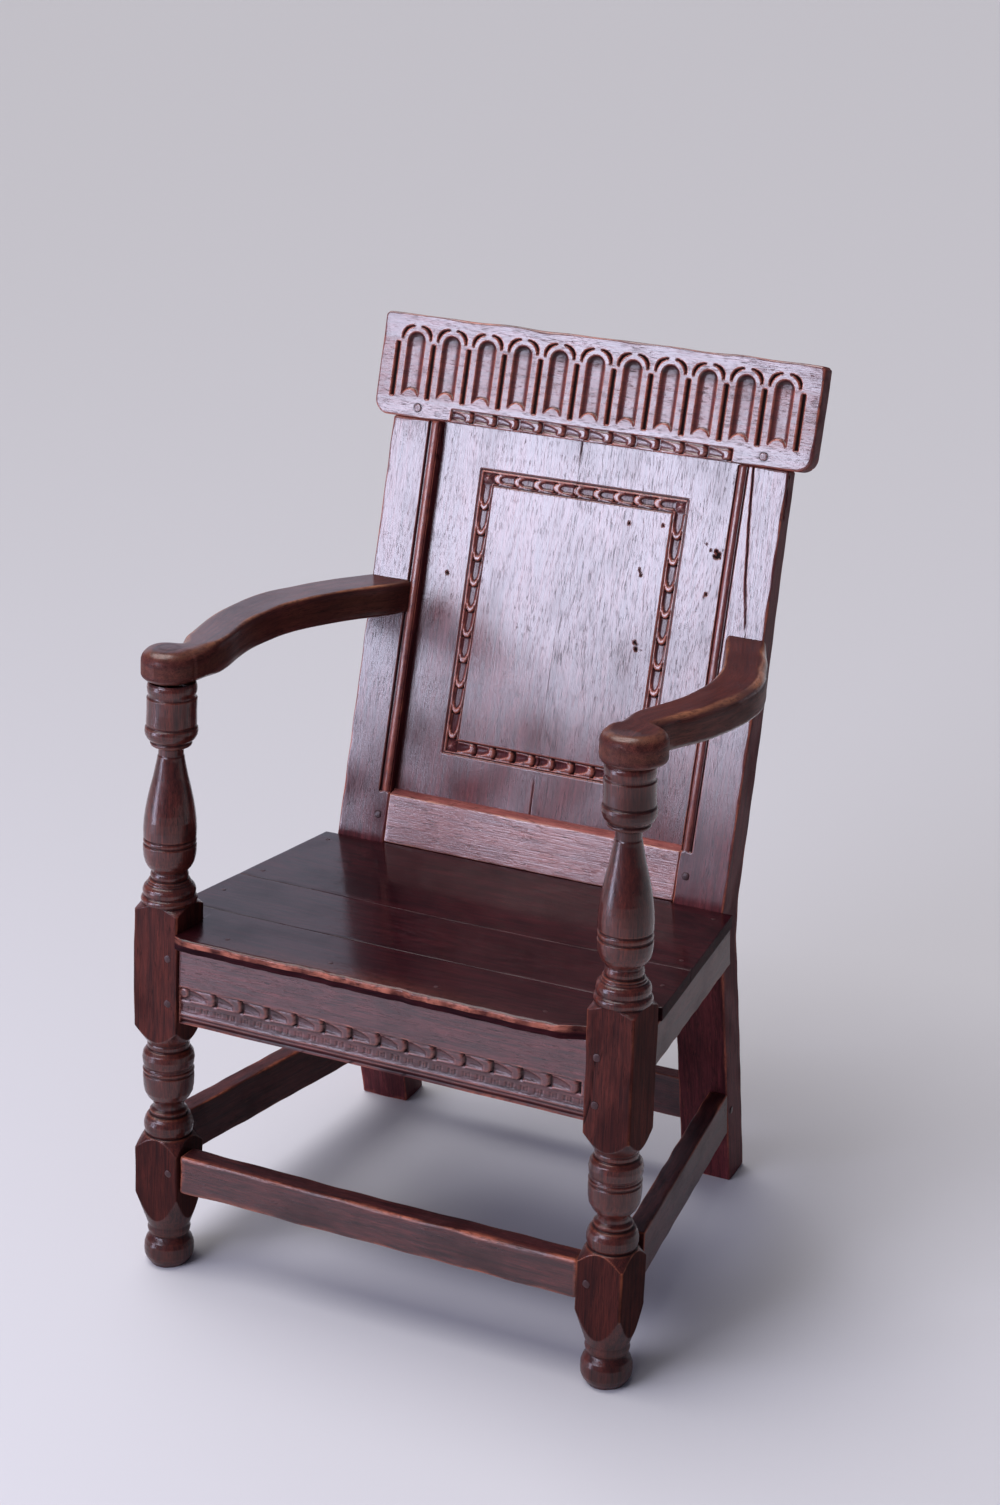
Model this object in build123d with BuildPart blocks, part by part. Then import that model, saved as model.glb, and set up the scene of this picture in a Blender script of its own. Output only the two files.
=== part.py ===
from build123d import *
import os

# A joined oak armchair. Everything is laid out square to the front legs, with z = 0 at the foot
# of a front leg and y = 0 at the front leg centres, then the whole chair is leant back on its
# worn back feet at the end.

# Frame
leg_spacing = 560.0
chair_lean = 6.0
block_side = 57.0
leg_x = leg_spacing / 2
half_block = block_side / 2
block_inner = leg_x - half_block
block_outer = leg_x + half_block
joint_gap = 0.15
tenon_thick = 9.0
tenon_long = 24.0
tenon_root = 4.0
peg_radius = 4.8
peg_proud = 0.8
peg_length = 34.0
peg_edge = 22.0
front_peg_drop = 15.0

# Front legs, heights measured up the leg
lower_block_bottom = 94.0
lower_block_top = 164.0
upper_block_bottom = 305.0
upper_block_top = 449.0
foot_radius = 29.0
neck_radius = 24.5
upper_neck_radius = 24.2
ring_radius = 29.5
cup_radius = 29.0
waist_radius = 17.5
baluster_top_radius = 14.9
baluster_radius = 29.7
collar_radius = 27.8
arm_tenon_radius = 12.0
rings_rise = 141.0
turning_rise = 264.0
corner_radius = block_side * 0.7072

# Back, measured up the raked front face of the stiles from the seat line
rake = 14.1
leg_splay = 12.5
stile_outer = 253.0
stile_width = 63.0
stile_inner = stile_outer - stile_width
back_y = 347.0
back_z = 429.0
kink_z = 415.0
seat_bend_depth = 54.0
back_leg_depth = 46.0
crest_bottom = 507.0
crest_top = 630.0
crest_width = 559.0
crest_thick = 26.0
crest_proud = 2.0
stile_top_depth = crest_thick - crest_proud
crest_tenon_up = 60.0
crest_tenon_wide = 38.0
back_rail_top = 55.0
back_rail_bevel = 7.0
back_rail_thick = 27.0
panel_recess = 12.0
panel_thick = 9.0
panel_groove = 9.0
panel_joint_x = -9.0

# Carving on the crest
flute_count = 11
flute_pitch = 47.0
flute_radius = 11.2
flute_foot = 535.0
flute_head = 608.5
flute_deep = 4.5
slot_wide = 6.5
slot_foot = 530.0
slot_head = 598.0
slot_deep = 3.0
arch_radius = 19.5
arch_wide = 3.6
arch_deep = 2.2
crest_null_count = 12
crest_null_pitch = 30.0

# Carving on the panel and front rail
border_outer_x = 133.0
border_wide = 17.0
border_bottom = 116.0
border_top = 457.5
border_deep = 2.5
null_count = 14
null_pitch = 34.5
null_deep = 3.5

# Seat
seat_top = 425.0
seat_thick = 16.0
seat_front_y = -40.0
seat_joint_front = 59.0
seat_joint_back = 168.0
seat_under_back = 376.0
front_pin_near = 65.0
front_pin_far = 195.0
side_pin_first = 45.0
side_pin_second = 115.0
side_pin_third = 190.0
side_pin_last = 320.0
seat_side_front = 307.0
seat_side_back = stile_outer + 13.5
seat_underside = seat_top - seat_thick

# Rails and stretchers
rail_face_y = -25.0
front_rail_bottom = 316.0
front_rail_thick = 26.0
side_rail_bottom = 358.0
side_rail_thick = 30.0
side_inset = 5.0
back_seat_rail_y = 363.0
back_seat_rail_bottom = 350.0
back_seat_rail_thick = 26.0
front_stretcher_bottom = 101.5
front_stretcher_top = 149.0
front_stretcher_thick = 30.0
side_stretcher_bottom = 116.0
side_stretcher_top = 172.0
side_stretcher_thick = 24.0
side_stretcher_front = 306.0
side_stretcher_back = stile_outer - 1
back_stretcher_bottom = 118.0
back_stretcher_top = 170.0
back_stretcher_thick = 24.0

# Arms
arm_under = 713.0
arm_thick = 37.0
arm_fall = 2.3
arm_pad_radius = 34.0
pad_offset = 3.0
arm_neck_y = 59.0
arm_neck_out = 14.0
arm_neck_in = 32.0
arm_flare_y = 141.0
arm_flare_out = 34.5
arm_flare_in = 15.5
arm_bow_y = 205.0
arm_bow = 43.0
arm_wide = 53.5
arm_return_y = 295.0
arm_return_out = 30.0
arm_return_in = 24.5
arm_back_wide = 48.0
arm_tenon_thick = 12.0
arm_tenon_wide = 34.0
arm_edge = 6.0

# Planes the parts are laid out on
back_face = Plane(
    origin=(0, back_y, back_z),
    x_dir=(1, 0, 0),
    z_dir=Vector(0, -1, 0).rotate(Axis.X, -rake),
)
floor_plane = Plane(origin=(0, 0, 0), z_dir=Vector(0, 0, 1).rotate(Axis.X, chair_lean))
seat_plane = Plane(origin=(0, 0, seat_top), z_dir=(0, 0, 1))
right_leg = Plane(origin=(leg_x, 0, 0), x_dir=(1, 0, 0), z_dir=(0, -1, 0))
right_leg_axis = Axis((leg_x, 0, 0), (0, 0, 1))
up_rake = Vector(0, 0, 1).rotate(Axis.X, -rake)
down_leg = Vector(0, 0, -1).rotate(Axis.X, leg_splay)
kink_y = back_y - (back_z - kink_z) * up_rake.Y / up_rake.Z
seat_side_slope = (seat_side_front - seat_side_back) / kink_y
leg_slope = down_leg.Y / -down_leg.Z


def leg_front(z):
    # Front face of a back leg at a height below the seat
    return kink_y + (kink_z - z) * leg_slope


def leg_back(z):
    return leg_front(z) + back_leg_depth


def side_face(y):
    # Outer face of the side rails, narrowing towards the back
    return seat_side_front - side_inset / 2 - seat_side_slope * y


def on_back(x, up, depth):
    # Point given across, up the raked face and behind it
    return back_face.from_local_coords(Vector(x, up, -depth))


def block(span, mode=Mode.ADD):
    # Rectangular block between two corners
    middle = tuple(sum(side) / 2 for side in span)
    sides = tuple(side[1] - side[0] for side in span)
    with Locations(middle):
        Box(*sides, mode=mode)


def raked_block(span, mode=Mode.ADD):
    # Rectangular block set out on the raked face: across, up and behind
    across, up, behind = span
    with BuildSketch(back_face.offset(-behind[0])) as outline:
        with Locations((sum(across) / 2, sum(up) / 2)):
            Rectangle(across[1] - across[0], up[1] - up[0])
    extrude(outline.sketch, amount=behind[0] - behind[1], mode=mode)


def eased(span):
    # The same block with the joint clearance all round
    return tuple((low - joint_gap, high + joint_gap) for low, high in span)


def dowel(start, along, radius, length, mode=Mode.ADD):
    with Locations(Plane(origin=start, z_dir=along).location):
        Cylinder(radius, length, align=(Align.CENTER, Align.CENTER, Align.MIN), mode=mode)


def peg_hole(start, along):
    dowel(start, along, peg_radius + joint_gap, peg_length + joint_gap, mode=Mode.SUBTRACT)


def on_hand(span, hand):
    # The same block on the right (1) or left (-1) of the chair
    across = tuple(sorted(hand * edge for edge in span[0]))
    return (across, *span[1:])


def mirror_across(point):
    return Vector(-point.X, point.Y, point.Z)


# Tenons on the right-hand side, as blocks shared by the tenon and its mortise
front_rail_middle = rail_face_y + front_rail_thick / 2
front_rail_tenon = (
    (block_inner - tenon_root, block_inner + tenon_long),
    (front_rail_middle - tenon_thick / 2, front_rail_middle + tenon_thick / 2),
    (front_rail_bottom + 12, seat_underside - 5),
)
front_stretcher_middle = rail_face_y + front_stretcher_thick / 2
front_stretcher_tenon = (
    (block_inner - tenon_root, block_inner + tenon_long),
    (front_stretcher_middle - tenon_thick / 2, front_stretcher_middle + tenon_thick / 2),
    (front_stretcher_bottom + 7, front_stretcher_top - 7),
)
side_rail_front_x = side_face(half_block) - side_rail_thick / 2
side_rail_front_tenon = (
    (side_rail_front_x - tenon_thick / 2, side_rail_front_x + tenon_thick / 2),
    (half_block - tenon_long, half_block + tenon_root),
    (side_rail_bottom + 8, seat_underside - 8),
)
rail_back_y = leg_front(side_rail_bottom)
side_rail_back_x = stile_outer - tenon_thick
side_rail_back_tenon = (
    (side_rail_back_x - tenon_thick / 2, side_rail_back_x + tenon_thick / 2),
    (kink_y - tenon_root, rail_back_y + tenon_long),
    (side_rail_bottom + 8, seat_underside - 8),
)
stretcher_front_x = side_stretcher_front - side_stretcher_thick / 2
side_stretcher_front_tenon = (
    (stretcher_front_x - tenon_thick / 2, stretcher_front_x + tenon_thick / 2),
    (half_block - tenon_long, half_block + tenon_root),
    (side_stretcher_bottom + 8, side_stretcher_top - 8),
)
stretcher_back_y = leg_front(side_stretcher_bottom)
stretcher_back_x = side_stretcher_back - side_stretcher_thick / 2
side_stretcher_back_tenon = (
    (stretcher_back_x - tenon_thick / 2, stretcher_back_x + tenon_thick / 2),
    (leg_front(side_stretcher_top) - tenon_root, stretcher_back_y + tenon_long),
    (side_stretcher_bottom + 8, side_stretcher_top - 8),
)
back_seat_rail_middle = back_seat_rail_y + back_seat_rail_thick / 2
back_seat_rail_tenon = (
    (stile_inner - tenon_root, stile_inner + tenon_long),
    (back_seat_rail_middle - tenon_thick / 2, back_seat_rail_middle + tenon_thick / 2),
    (back_seat_rail_bottom + 8, seat_underside - 8),
)
back_stretcher_middle_z = (back_stretcher_bottom + back_stretcher_top) / 2
back_stretcher_middle = leg_front(back_stretcher_middle_z) + back_leg_depth / 2
back_stretcher_tenon = (
    (stile_inner - tenon_root, stile_inner + tenon_long),
    (back_stretcher_middle - tenon_thick / 2, back_stretcher_middle + tenon_thick / 2),
    (back_stretcher_bottom + 8, back_stretcher_top - 8),
)
lower_back_rail_tenon = (
    (stile_inner - tenon_root, stile_inner + tenon_long),
    (8, back_rail_top - 12),
    (9, 9 + tenon_thick),
)
stile_middle = (stile_inner + stile_outer) / 2
crest_tenon = (
    (stile_middle - crest_tenon_wide / 2, stile_middle + crest_tenon_wide / 2),
    (crest_bottom - tenon_root, crest_bottom + crest_tenon_up),
    (8, 8 + tenon_thick),
)
panel_slot = (
    (-stile_inner - panel_groove, stile_inner + panel_groove),
    (back_rail_top - panel_groove, crest_bottom + panel_groove),
    (panel_recess, panel_recess + panel_thick),
)
pad_x = leg_x - pad_offset
pad_turn_y = 0.41 * arm_pad_radius
pad_turn_x = (arm_pad_radius**2 - pad_turn_y**2) ** 0.5
# The arm falls towards the back, and is highest at the front of its pad
arm_normal = Vector(0, 0, 1).rotate(Axis.X, -arm_fall)
arm_slope = arm_normal.Y / arm_normal.Z
arm_plane = Plane(
    origin=(0, 0, arm_under - arm_slope * arm_pad_radius), x_dir=(1, 0, 0), z_dir=arm_normal
)
arm_rise = arm_thick / arm_normal.Z
arm_tenon_top = arm_under + arm_rise - arm_slope * (arm_pad_radius + arm_tenon_radius) - 0.3
back_slope = up_rake.Y / up_rake.Z
arm_front_top = arm_plane.origin.Z + arm_rise
arm_end_y = (back_y + (arm_front_top - back_z) * back_slope) / (1 + arm_slope * back_slope)
arm_end_middle = arm_plane.origin.Z + arm_rise / 2 - arm_slope * arm_end_y
arm_end_x = stile_outer - 25
arm_tenon = (
    (arm_end_x - arm_tenon_wide / 2, arm_end_x + arm_tenon_wide / 2),
    (arm_end_y - 22, arm_end_y + tenon_long),
    (arm_end_middle - arm_tenon_thick / 2, arm_end_middle + arm_tenon_thick / 2),
)

# Pegs on the right-hand side: a start just proud of the face and a direction
front_face = -half_block - peg_proud
side_block_face = block_outer + peg_proud
side_post_face = stile_outer + peg_proud
backwards = (0, 1, 0)
forwards = (0, -1, 0)
inwards = (-1, 0, 0)
front_peg_x = block_inner + tenon_long / 2
side_peg_y = half_block - tenon_long / 2
side_rail_middle_z = (side_rail_bottom + seat_underside) / 2
side_stretcher_middle_z = (side_stretcher_bottom + side_stretcher_top) / 2
back_peg_x = stile_inner + tenon_long / 2
front_rail_peg_high = Vector(front_peg_x, front_face, seat_underside - front_peg_drop)
front_rail_peg_low = Vector(front_peg_x, front_face, front_rail_bottom + peg_edge)
front_stretcher_peg = Vector(
    front_peg_x, front_face, (front_stretcher_bottom + front_stretcher_top) / 2
)
side_rail_peg_front = Vector(side_block_face, side_peg_y, side_rail_middle_z)
side_rail_peg_back = Vector(
    side_post_face, leg_front(side_rail_middle_z) + tenon_long / 2, side_rail_middle_z
)
side_stretcher_peg_front = Vector(side_block_face, side_peg_y, side_stretcher_middle_z)
side_stretcher_peg_back = Vector(
    side_post_face, leg_front(side_stretcher_middle_z) + tenon_long / 2, side_stretcher_middle_z
)
back_seat_rail_middle_z = (back_seat_rail_bottom + seat_underside) / 2
back_stretcher_peg = Vector(
    back_peg_x, leg_back(back_stretcher_middle_z) + peg_proud, back_stretcher_middle_z
)
back_seat_rail_peg = Vector(
    back_peg_x, leg_back(back_seat_rail_middle_z) + peg_proud, back_seat_rail_middle_z
)
crest_peg = on_back(stile_middle, crest_bottom + 12, -crest_proud - peg_proud)
lower_rail_peg = on_back(back_peg_x, back_rail_top / 2, -peg_proud)
into_back = tuple(-back_face.z_dir)


def bead(low, high, edge, belly):
    # Rounded swelling between two heights
    return ThreePointArc((edge, low), (belly, (low + high) / 2), (edge, high))


def flat(low, high, low_radius, high_radius):
    # Straight length between two heights
    return Line((low_radius, low), (high_radius, high))


def up_rings(height):
    # Height in the turning between the blocks, from the lower block up
    return lower_block_top + height * (upper_block_bottom - lower_block_top) / rings_rise


def up_turning(height):
    # Height in the turning above the seat, from the upper block up
    return upper_block_top + height * (arm_under - upper_block_top) / turning_rise


def turning(*curves):
    # Closes a run of turned curves into half a section, out from the leg centre
    for lower, upper in zip(curves, curves[1:]):
        Line(lower @ 1, upper @ 0)
    bottom = (curves[0] @ 0).Y
    top = (curves[-1] @ 1).Y
    Polyline(curves[-1] @ 1, (0, top), (0, bottom), curves[0] @ 0)


with BuildPart() as front_leg_blank:
    # Square blocks with lathe-cut shoulders
    with BuildSketch(Plane.XY.offset(-6)):
        with Locations((leg_x, 0)):
            Rectangle(block_side, block_side)
    extrude(amount=upper_block_top + 6)
    with BuildSketch(right_leg):
        with BuildLine():
            Polyline(
                (0, -6),
                (neck_radius - 3, -6),
                (neck_radius - 3, lower_block_bottom - 48),
                (neck_radius, lower_block_bottom - 48),
                (corner_radius, lower_block_bottom),
                (corner_radius, lower_block_top - 17),
                (ring_radius - 1, lower_block_top),
                (waist_radius, lower_block_top),
                (waist_radius, upper_block_bottom - 24.5),
                (upper_neck_radius + 0.5, upper_block_bottom - 24.5),
                (corner_radius, upper_block_bottom),
                (corner_radius, upper_block_top - 7),
                (ring_radius + 0.5, upper_block_top),
                (0, upper_block_top),
                (0, -6),
            )
        make_face()
    revolve(axis=right_leg_axis, mode=Mode.INTERSECT)
    # Bun foot and its neck
    with BuildSketch(right_leg):
        with BuildLine():
            turning(
                Spline(
                    (20.6, -6),
                    (23.8, 1),
                    (foot_radius - 0.5, 9),
                    (foot_radius, 16),
                    (foot_radius - 0.4, 23),
                    (26.6, 29),
                    (23.0, 34),
                ),
                flat(34.5, 36.5, 22.4, 22.4),
                bead(37, lower_block_bottom - 46, neck_radius - 1, neck_radius + 0.5),
            )
        make_face()
    revolve(axis=right_leg_axis)
    # Rings and cup between the blocks
    with BuildSketch(right_leg):
        with BuildLine():
            turning(
                bead(up_rings(-1), up_rings(24), 25.0, half_block - 0.1),
                bead(up_rings(25), up_rings(31), 20.5, 22.0),
                Spline(
                    (waist_radius + 1, up_rings(32)),
                    (waist_radius, up_rings(37)),
                    (24.5, up_rings(47)),
                    (cup_radius, up_rings(60)),
                    (cup_radius + 0.4, up_rings(76)),
                ),
                flat(up_rings(76.5), up_rings(78.5), 28.0, 28.0),
                bead(up_rings(79), up_rings(82), cup_radius, cup_radius + 0.6),
                flat(up_rings(82.5), up_rings(84.5), 28.0, 28.0),
                bead(up_rings(85), up_rings(108), 25.6, ring_radius + 0.3),
                bead(up_rings(108.5), up_rings(117), upper_neck_radius - 1, upper_neck_radius),
            )
        make_face()
    revolve(axis=right_leg_axis)
    # Ring, reel and long vase above the seat, ending in a collar and a tenon
    with BuildSketch(right_leg):
        with BuildLine():
            turning(
                bead(up_turning(-1), up_turning(10), 29.0, 32.0),
                flat(up_turning(10.3), up_turning(11.3), 28.4, 28.4),
                Spline(
                    (29.2, up_turning(11.6)),
                    (29.9, up_turning(15)),
                    (29.9, up_turning(18)),
                    (26.6, up_turning(24.5)),
                ),
                flat(up_turning(25), up_turning(28), 24.6, 24.6),
                flat(up_turning(28.3), up_turning(30.7), 23.2, 23.2),
                flat(up_turning(31), up_turning(32), 20.4, 20.4),
                bead(up_turning(32.3), up_turning(41.5), 20.4, 21.5),
                Spline(
                    (20.6, up_turning(42)),
                    (25.4, up_turning(48)),
                    (28.6, up_turning(56)),
                    (baluster_radius, up_turning(65)),
                    (baluster_radius, up_turning(72.5)),
                ),
                flat(up_turning(73), up_turning(74), 28.2, 28.2),
                bead(up_turning(74.5), up_turning(80.5), 29.0, baluster_radius),
                flat(up_turning(81), up_turning(82), 28.2, 28.2),
                Spline(
                    (baluster_radius - 0.1, up_turning(82.5)),
                    (baluster_radius, up_turning(90)),
                    (28.1, up_turning(111)),
                    (23.1, up_turning(137)),
                    (17.4, up_turning(163)),
                    (baluster_top_radius, up_turning(178)),
                ),
                flat(up_turning(178.5), up_turning(188), 14.3, 14.3),
                bead(up_turning(188.5), up_turning(195.5), 20.6, 23.6),
                Spline(
                    (23.4, up_turning(196)),
                    (27.2, up_turning(200)),
                    (29.8, up_turning(206)),
                    (29.2, up_turning(213)),
                ),
                flat(up_turning(213.5), up_turning(214.7), 26.8, 26.8),
                flat(up_turning(215), up_turning(246.6), collar_radius, collar_radius),
                flat(up_turning(247), up_turning(249.8), 26.4, 26.4),
                bead(up_turning(250.2), arm_under, 26.4, collar_radius),
                flat(arm_under, arm_tenon_top, arm_tenon_radius, arm_tenon_radius),
            )
        make_face()
    revolve(axis=right_leg_axis)
    # The bun foot is worn flat to the floor
    split(bisect_by=floor_plane, keep=Keep.TOP)


def front_leg_joints(hand):
    # Mortises and peg holes of the right (1) or left (-1) front leg
    tenons = (
        front_rail_tenon,
        front_stretcher_tenon,
        side_rail_front_tenon,
        side_stretcher_front_tenon,
    )
    for tenon in tenons:
        block(eased(on_hand(tenon, hand)), mode=Mode.SUBTRACT)
    for start in (front_rail_peg_high, front_rail_peg_low, front_stretcher_peg):
        peg_hole(Vector(hand * start.X, start.Y, start.Z), backwards)
    for start in (side_rail_peg_front, side_stretcher_peg_front):
        peg_hole(Vector(hand * start.X, start.Y, start.Z), (-hand, 0, 0))


with BuildPart() as front_leg_right:
    add(front_leg_blank.part)
    front_leg_joints(1)

with BuildPart() as front_leg_left:
    add(front_leg_blank.part.moved(Location((-leg_spacing, 0, 0))))
    front_leg_joints(-1)

with BuildPart() as back_post_right:
    leg_end = -30.0
    bend_low = kink_z - (seat_bend_depth - back_leg_depth) / leg_slope
    top_front = on_back(0, crest_bottom, 0)
    top_back = on_back(0, crest_bottom, stile_top_depth)
    with BuildSketch(Plane.YZ.offset(stile_inner)):
        with BuildLine():
            Polyline(
                (leg_front(leg_end), leg_end),
                (kink_y, kink_z),
                (top_front.Y, top_front.Z),
                (top_back.Y, top_back.Z),
                (kink_y + seat_bend_depth, kink_z + 12),
                (leg_back(bend_low), bend_low),
                (leg_back(leg_end), leg_end),
                (leg_front(leg_end), leg_end),
            )
        make_face()
    extrude(amount=stile_width)
    raked_block(crest_tenon)
    # Run moulding along the inner edge of the stile
    raked_block(
        ((stile_inner + 14, stile_inner + 17), (back_rail_top, crest_bottom), (0, 2.5)),
        mode=Mode.SUBTRACT,
    )
    raked_block(
        ((stile_inner, stile_inner + 4), (back_rail_top, crest_bottom), (0, 3.5)),
        mode=Mode.SUBTRACT,
    )
    raked_block(
        (panel_slot[0], (back_rail_top - panel_groove - joint_gap, crest_bottom), eased(panel_slot)[2]),
        mode=Mode.SUBTRACT,
    )
    raked_block(eased(lower_back_rail_tenon), mode=Mode.SUBTRACT)
    block(eased(side_rail_back_tenon), mode=Mode.SUBTRACT)
    block(eased(side_stretcher_back_tenon), mode=Mode.SUBTRACT)
    block(eased(back_seat_rail_tenon), mode=Mode.SUBTRACT)
    block(eased(back_stretcher_tenon), mode=Mode.SUBTRACT)
    block(eased(arm_tenon), mode=Mode.SUBTRACT)
    peg_hole(crest_peg, into_back)
    peg_hole(lower_rail_peg, into_back)
    peg_hole(side_rail_peg_back, inwards)
    peg_hole(side_stretcher_peg_back, inwards)
    peg_hole(back_seat_rail_peg, forwards)
    peg_hole(back_stretcher_peg, forwards)
    split(bisect_by=floor_plane, keep=Keep.TOP)

with BuildPart() as back_post_left:
    mirror(back_post_right.part, about=Plane.YZ)

with BuildPart() as crest_rail:
    with BuildSketch(back_face.offset(crest_proud)):
        with Locations((0, (crest_bottom + crest_top) / 2)):
            Rectangle(crest_width, crest_top - crest_bottom)
    extrude(amount=-crest_thick)
    upright_edges = crest_rail.edges().filter_by(Axis(back_face.origin, back_face.z_dir))
    fillet(upright_edges.group_by(Axis.Z)[0], 18)
    fillet(
        crest_rail.edges()
        .filter_by(Axis(back_face.origin, back_face.z_dir))
        .group_by(Axis.Z)[-1],
        6,
    )
    # Round-headed flutes with a raised foot
    with BuildSketch(back_face.offset(crest_proud)):
        with GridLocations(flute_pitch, 1, flute_count, 1):
            with Locations((0, (flute_foot + flute_head - flute_radius) / 2)):
                Rectangle(2 * flute_radius, flute_head - flute_radius - flute_foot)
            with Locations((0, flute_head - flute_radius)):
                Circle(flute_radius)
            with Locations((0, flute_foot - flute_radius / 2)):
                Circle(flute_radius, mode=Mode.SUBTRACT)
    extrude(amount=-flute_deep, mode=Mode.SUBTRACT)
    # Narrow slots between and outside the flutes
    with BuildSketch(back_face.offset(crest_proud)):
        with Locations((0, (slot_foot + slot_head) / 2)):
            with GridLocations(flute_pitch, 1, flute_count + 1, 1):
                Rectangle(slot_wide, slot_head - slot_foot)
    extrude(amount=-slot_deep, mode=Mode.SUBTRACT)
    # Pairs of crescent cuts that draw an arch over each flute
    with BuildSketch(back_face.offset(crest_proud)):
        with Locations((0, flute_head - flute_radius)):
            with GridLocations(flute_pitch, 1, flute_count, 1):
                for start in (20, 108):
                    SlotArc(
                        CenterArc((0, 0), arch_radius, start, 52, mode=Mode.PRIVATE),
                        arch_wide,
                    )
    extrude(amount=-arch_deep, mode=Mode.SUBTRACT)
    # Gouged row on the lower edge between the stiles
    with BuildSketch(back_face.offset(crest_proud)):
        with Locations((0, crest_bottom + 9.5)):
            with GridLocations(crest_null_pitch, 1, crest_null_count, 1):
                SlotOverall(crest_null_pitch * 0.72, 8)
    extrude(amount=-null_deep, mode=Mode.SUBTRACT)
    for hand in (1, -1):
        raked_block(eased(on_hand(crest_tenon, hand)), mode=Mode.SUBTRACT)
    raked_block(
        (eased(panel_slot)[0], (crest_bottom - 1, panel_slot[1][1] + joint_gap), eased(panel_slot)[2]),
        mode=Mode.SUBTRACT,
    )
    peg_hole(crest_peg, into_back)
    peg_hole(mirror_across(crest_peg), into_back)

with BuildPart() as lower_back_rail:
    raked_block(((-stile_inner, stile_inner), (-20, back_rail_top), (0, back_rail_thick)))
    # Bevelled top edge running back to the panel
    with BuildSketch(Plane.YZ.offset(-stile_inner)):
        with BuildLine():
            front_edge = on_back(0, back_rail_top, 0)
            bevel_back = on_back(0, back_rail_top + back_rail_bevel, panel_recess)
            rail_back = on_back(0, back_rail_top + back_rail_bevel, back_rail_thick)
            rail_low = on_back(0, back_rail_top - 5, back_rail_thick)
            front_low = on_back(0, back_rail_top - 5, 0)
            Polyline(
                (front_low.Y, front_low.Z),
                (front_edge.Y, front_edge.Z),
                (bevel_back.Y, bevel_back.Z),
                (rail_back.Y, rail_back.Z),
                (rail_low.Y, rail_low.Z),
                (front_low.Y, front_low.Z),
            )
        make_face()
    extrude(amount=2 * stile_inner)
    for hand in (1, -1):
        raked_block(on_hand(lower_back_rail_tenon, hand))
    raked_block(
        (
            (-stile_inner - 1, stile_inner + 1),
            (panel_slot[1][0] - joint_gap, back_rail_top + back_rail_bevel + 1),
            eased(panel_slot)[2],
        ),
        mode=Mode.SUBTRACT,
    )
    peg_hole(lower_rail_peg, into_back)
    peg_hole(mirror_across(lower_rail_peg), into_back)
    split(bisect_by=seat_plane, keep=Keep.TOP)


def panel_board(across):
    # One board of the panel with its share of the carved border
    raked_block((across, panel_slot[1], panel_slot[2]))
    face = back_face.offset(-panel_recess)
    middle_up = (border_bottom + border_top) / 2
    with BuildSketch(face) as fillets:
        with Locations((0, middle_up)):
            Rectangle(2 * border_outer_x, border_top - border_bottom)
            Rectangle(
                2 * border_outer_x - 4, border_top - border_bottom - 4, mode=Mode.SUBTRACT
            )
            Rectangle(
                2 * (border_outer_x - border_wide) + 4,
                border_top - border_bottom - 2 * border_wide + 4,
            )
            Rectangle(
                2 * (border_outer_x - border_wide),
                border_top - border_bottom - 2 * border_wide,
                mode=Mode.SUBTRACT,
            )
    extrude(fillets.sketch, amount=-border_deep / 2, mode=Mode.SUBTRACT)
    with BuildSketch(face) as gouges:
        with Locations((0, middle_up)):
            with GridLocations(
                25, border_top - border_bottom - border_wide, 9, 2
            ):
                SlotOverall(19, 8)
            with GridLocations(2 * border_outer_x - border_wide, 30.2, 2, 10):
                SlotOverall(24, 8, rotation=90)
    extrude(gouges.sketch, amount=-border_deep, mode=Mode.SUBTRACT)


with BuildPart() as panel_board_left:
    panel_board((panel_slot[0][0], panel_joint_x))
    keep_left = Plane(origin=(panel_joint_x, 0, 0), z_dir=(-1, 0, 0))
    split(bisect_by=keep_left, keep=Keep.TOP)

with BuildPart() as panel_board_right:
    panel_board((panel_joint_x, panel_slot[0][1]))
    keep_right = Plane(origin=(panel_joint_x, 0, 0), z_dir=(1, 0, 0))
    split(bisect_by=keep_right, keep=Keep.TOP)

stile_front_plane = Plane(origin=back_face.origin, z_dir=back_face.z_dir)

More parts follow.
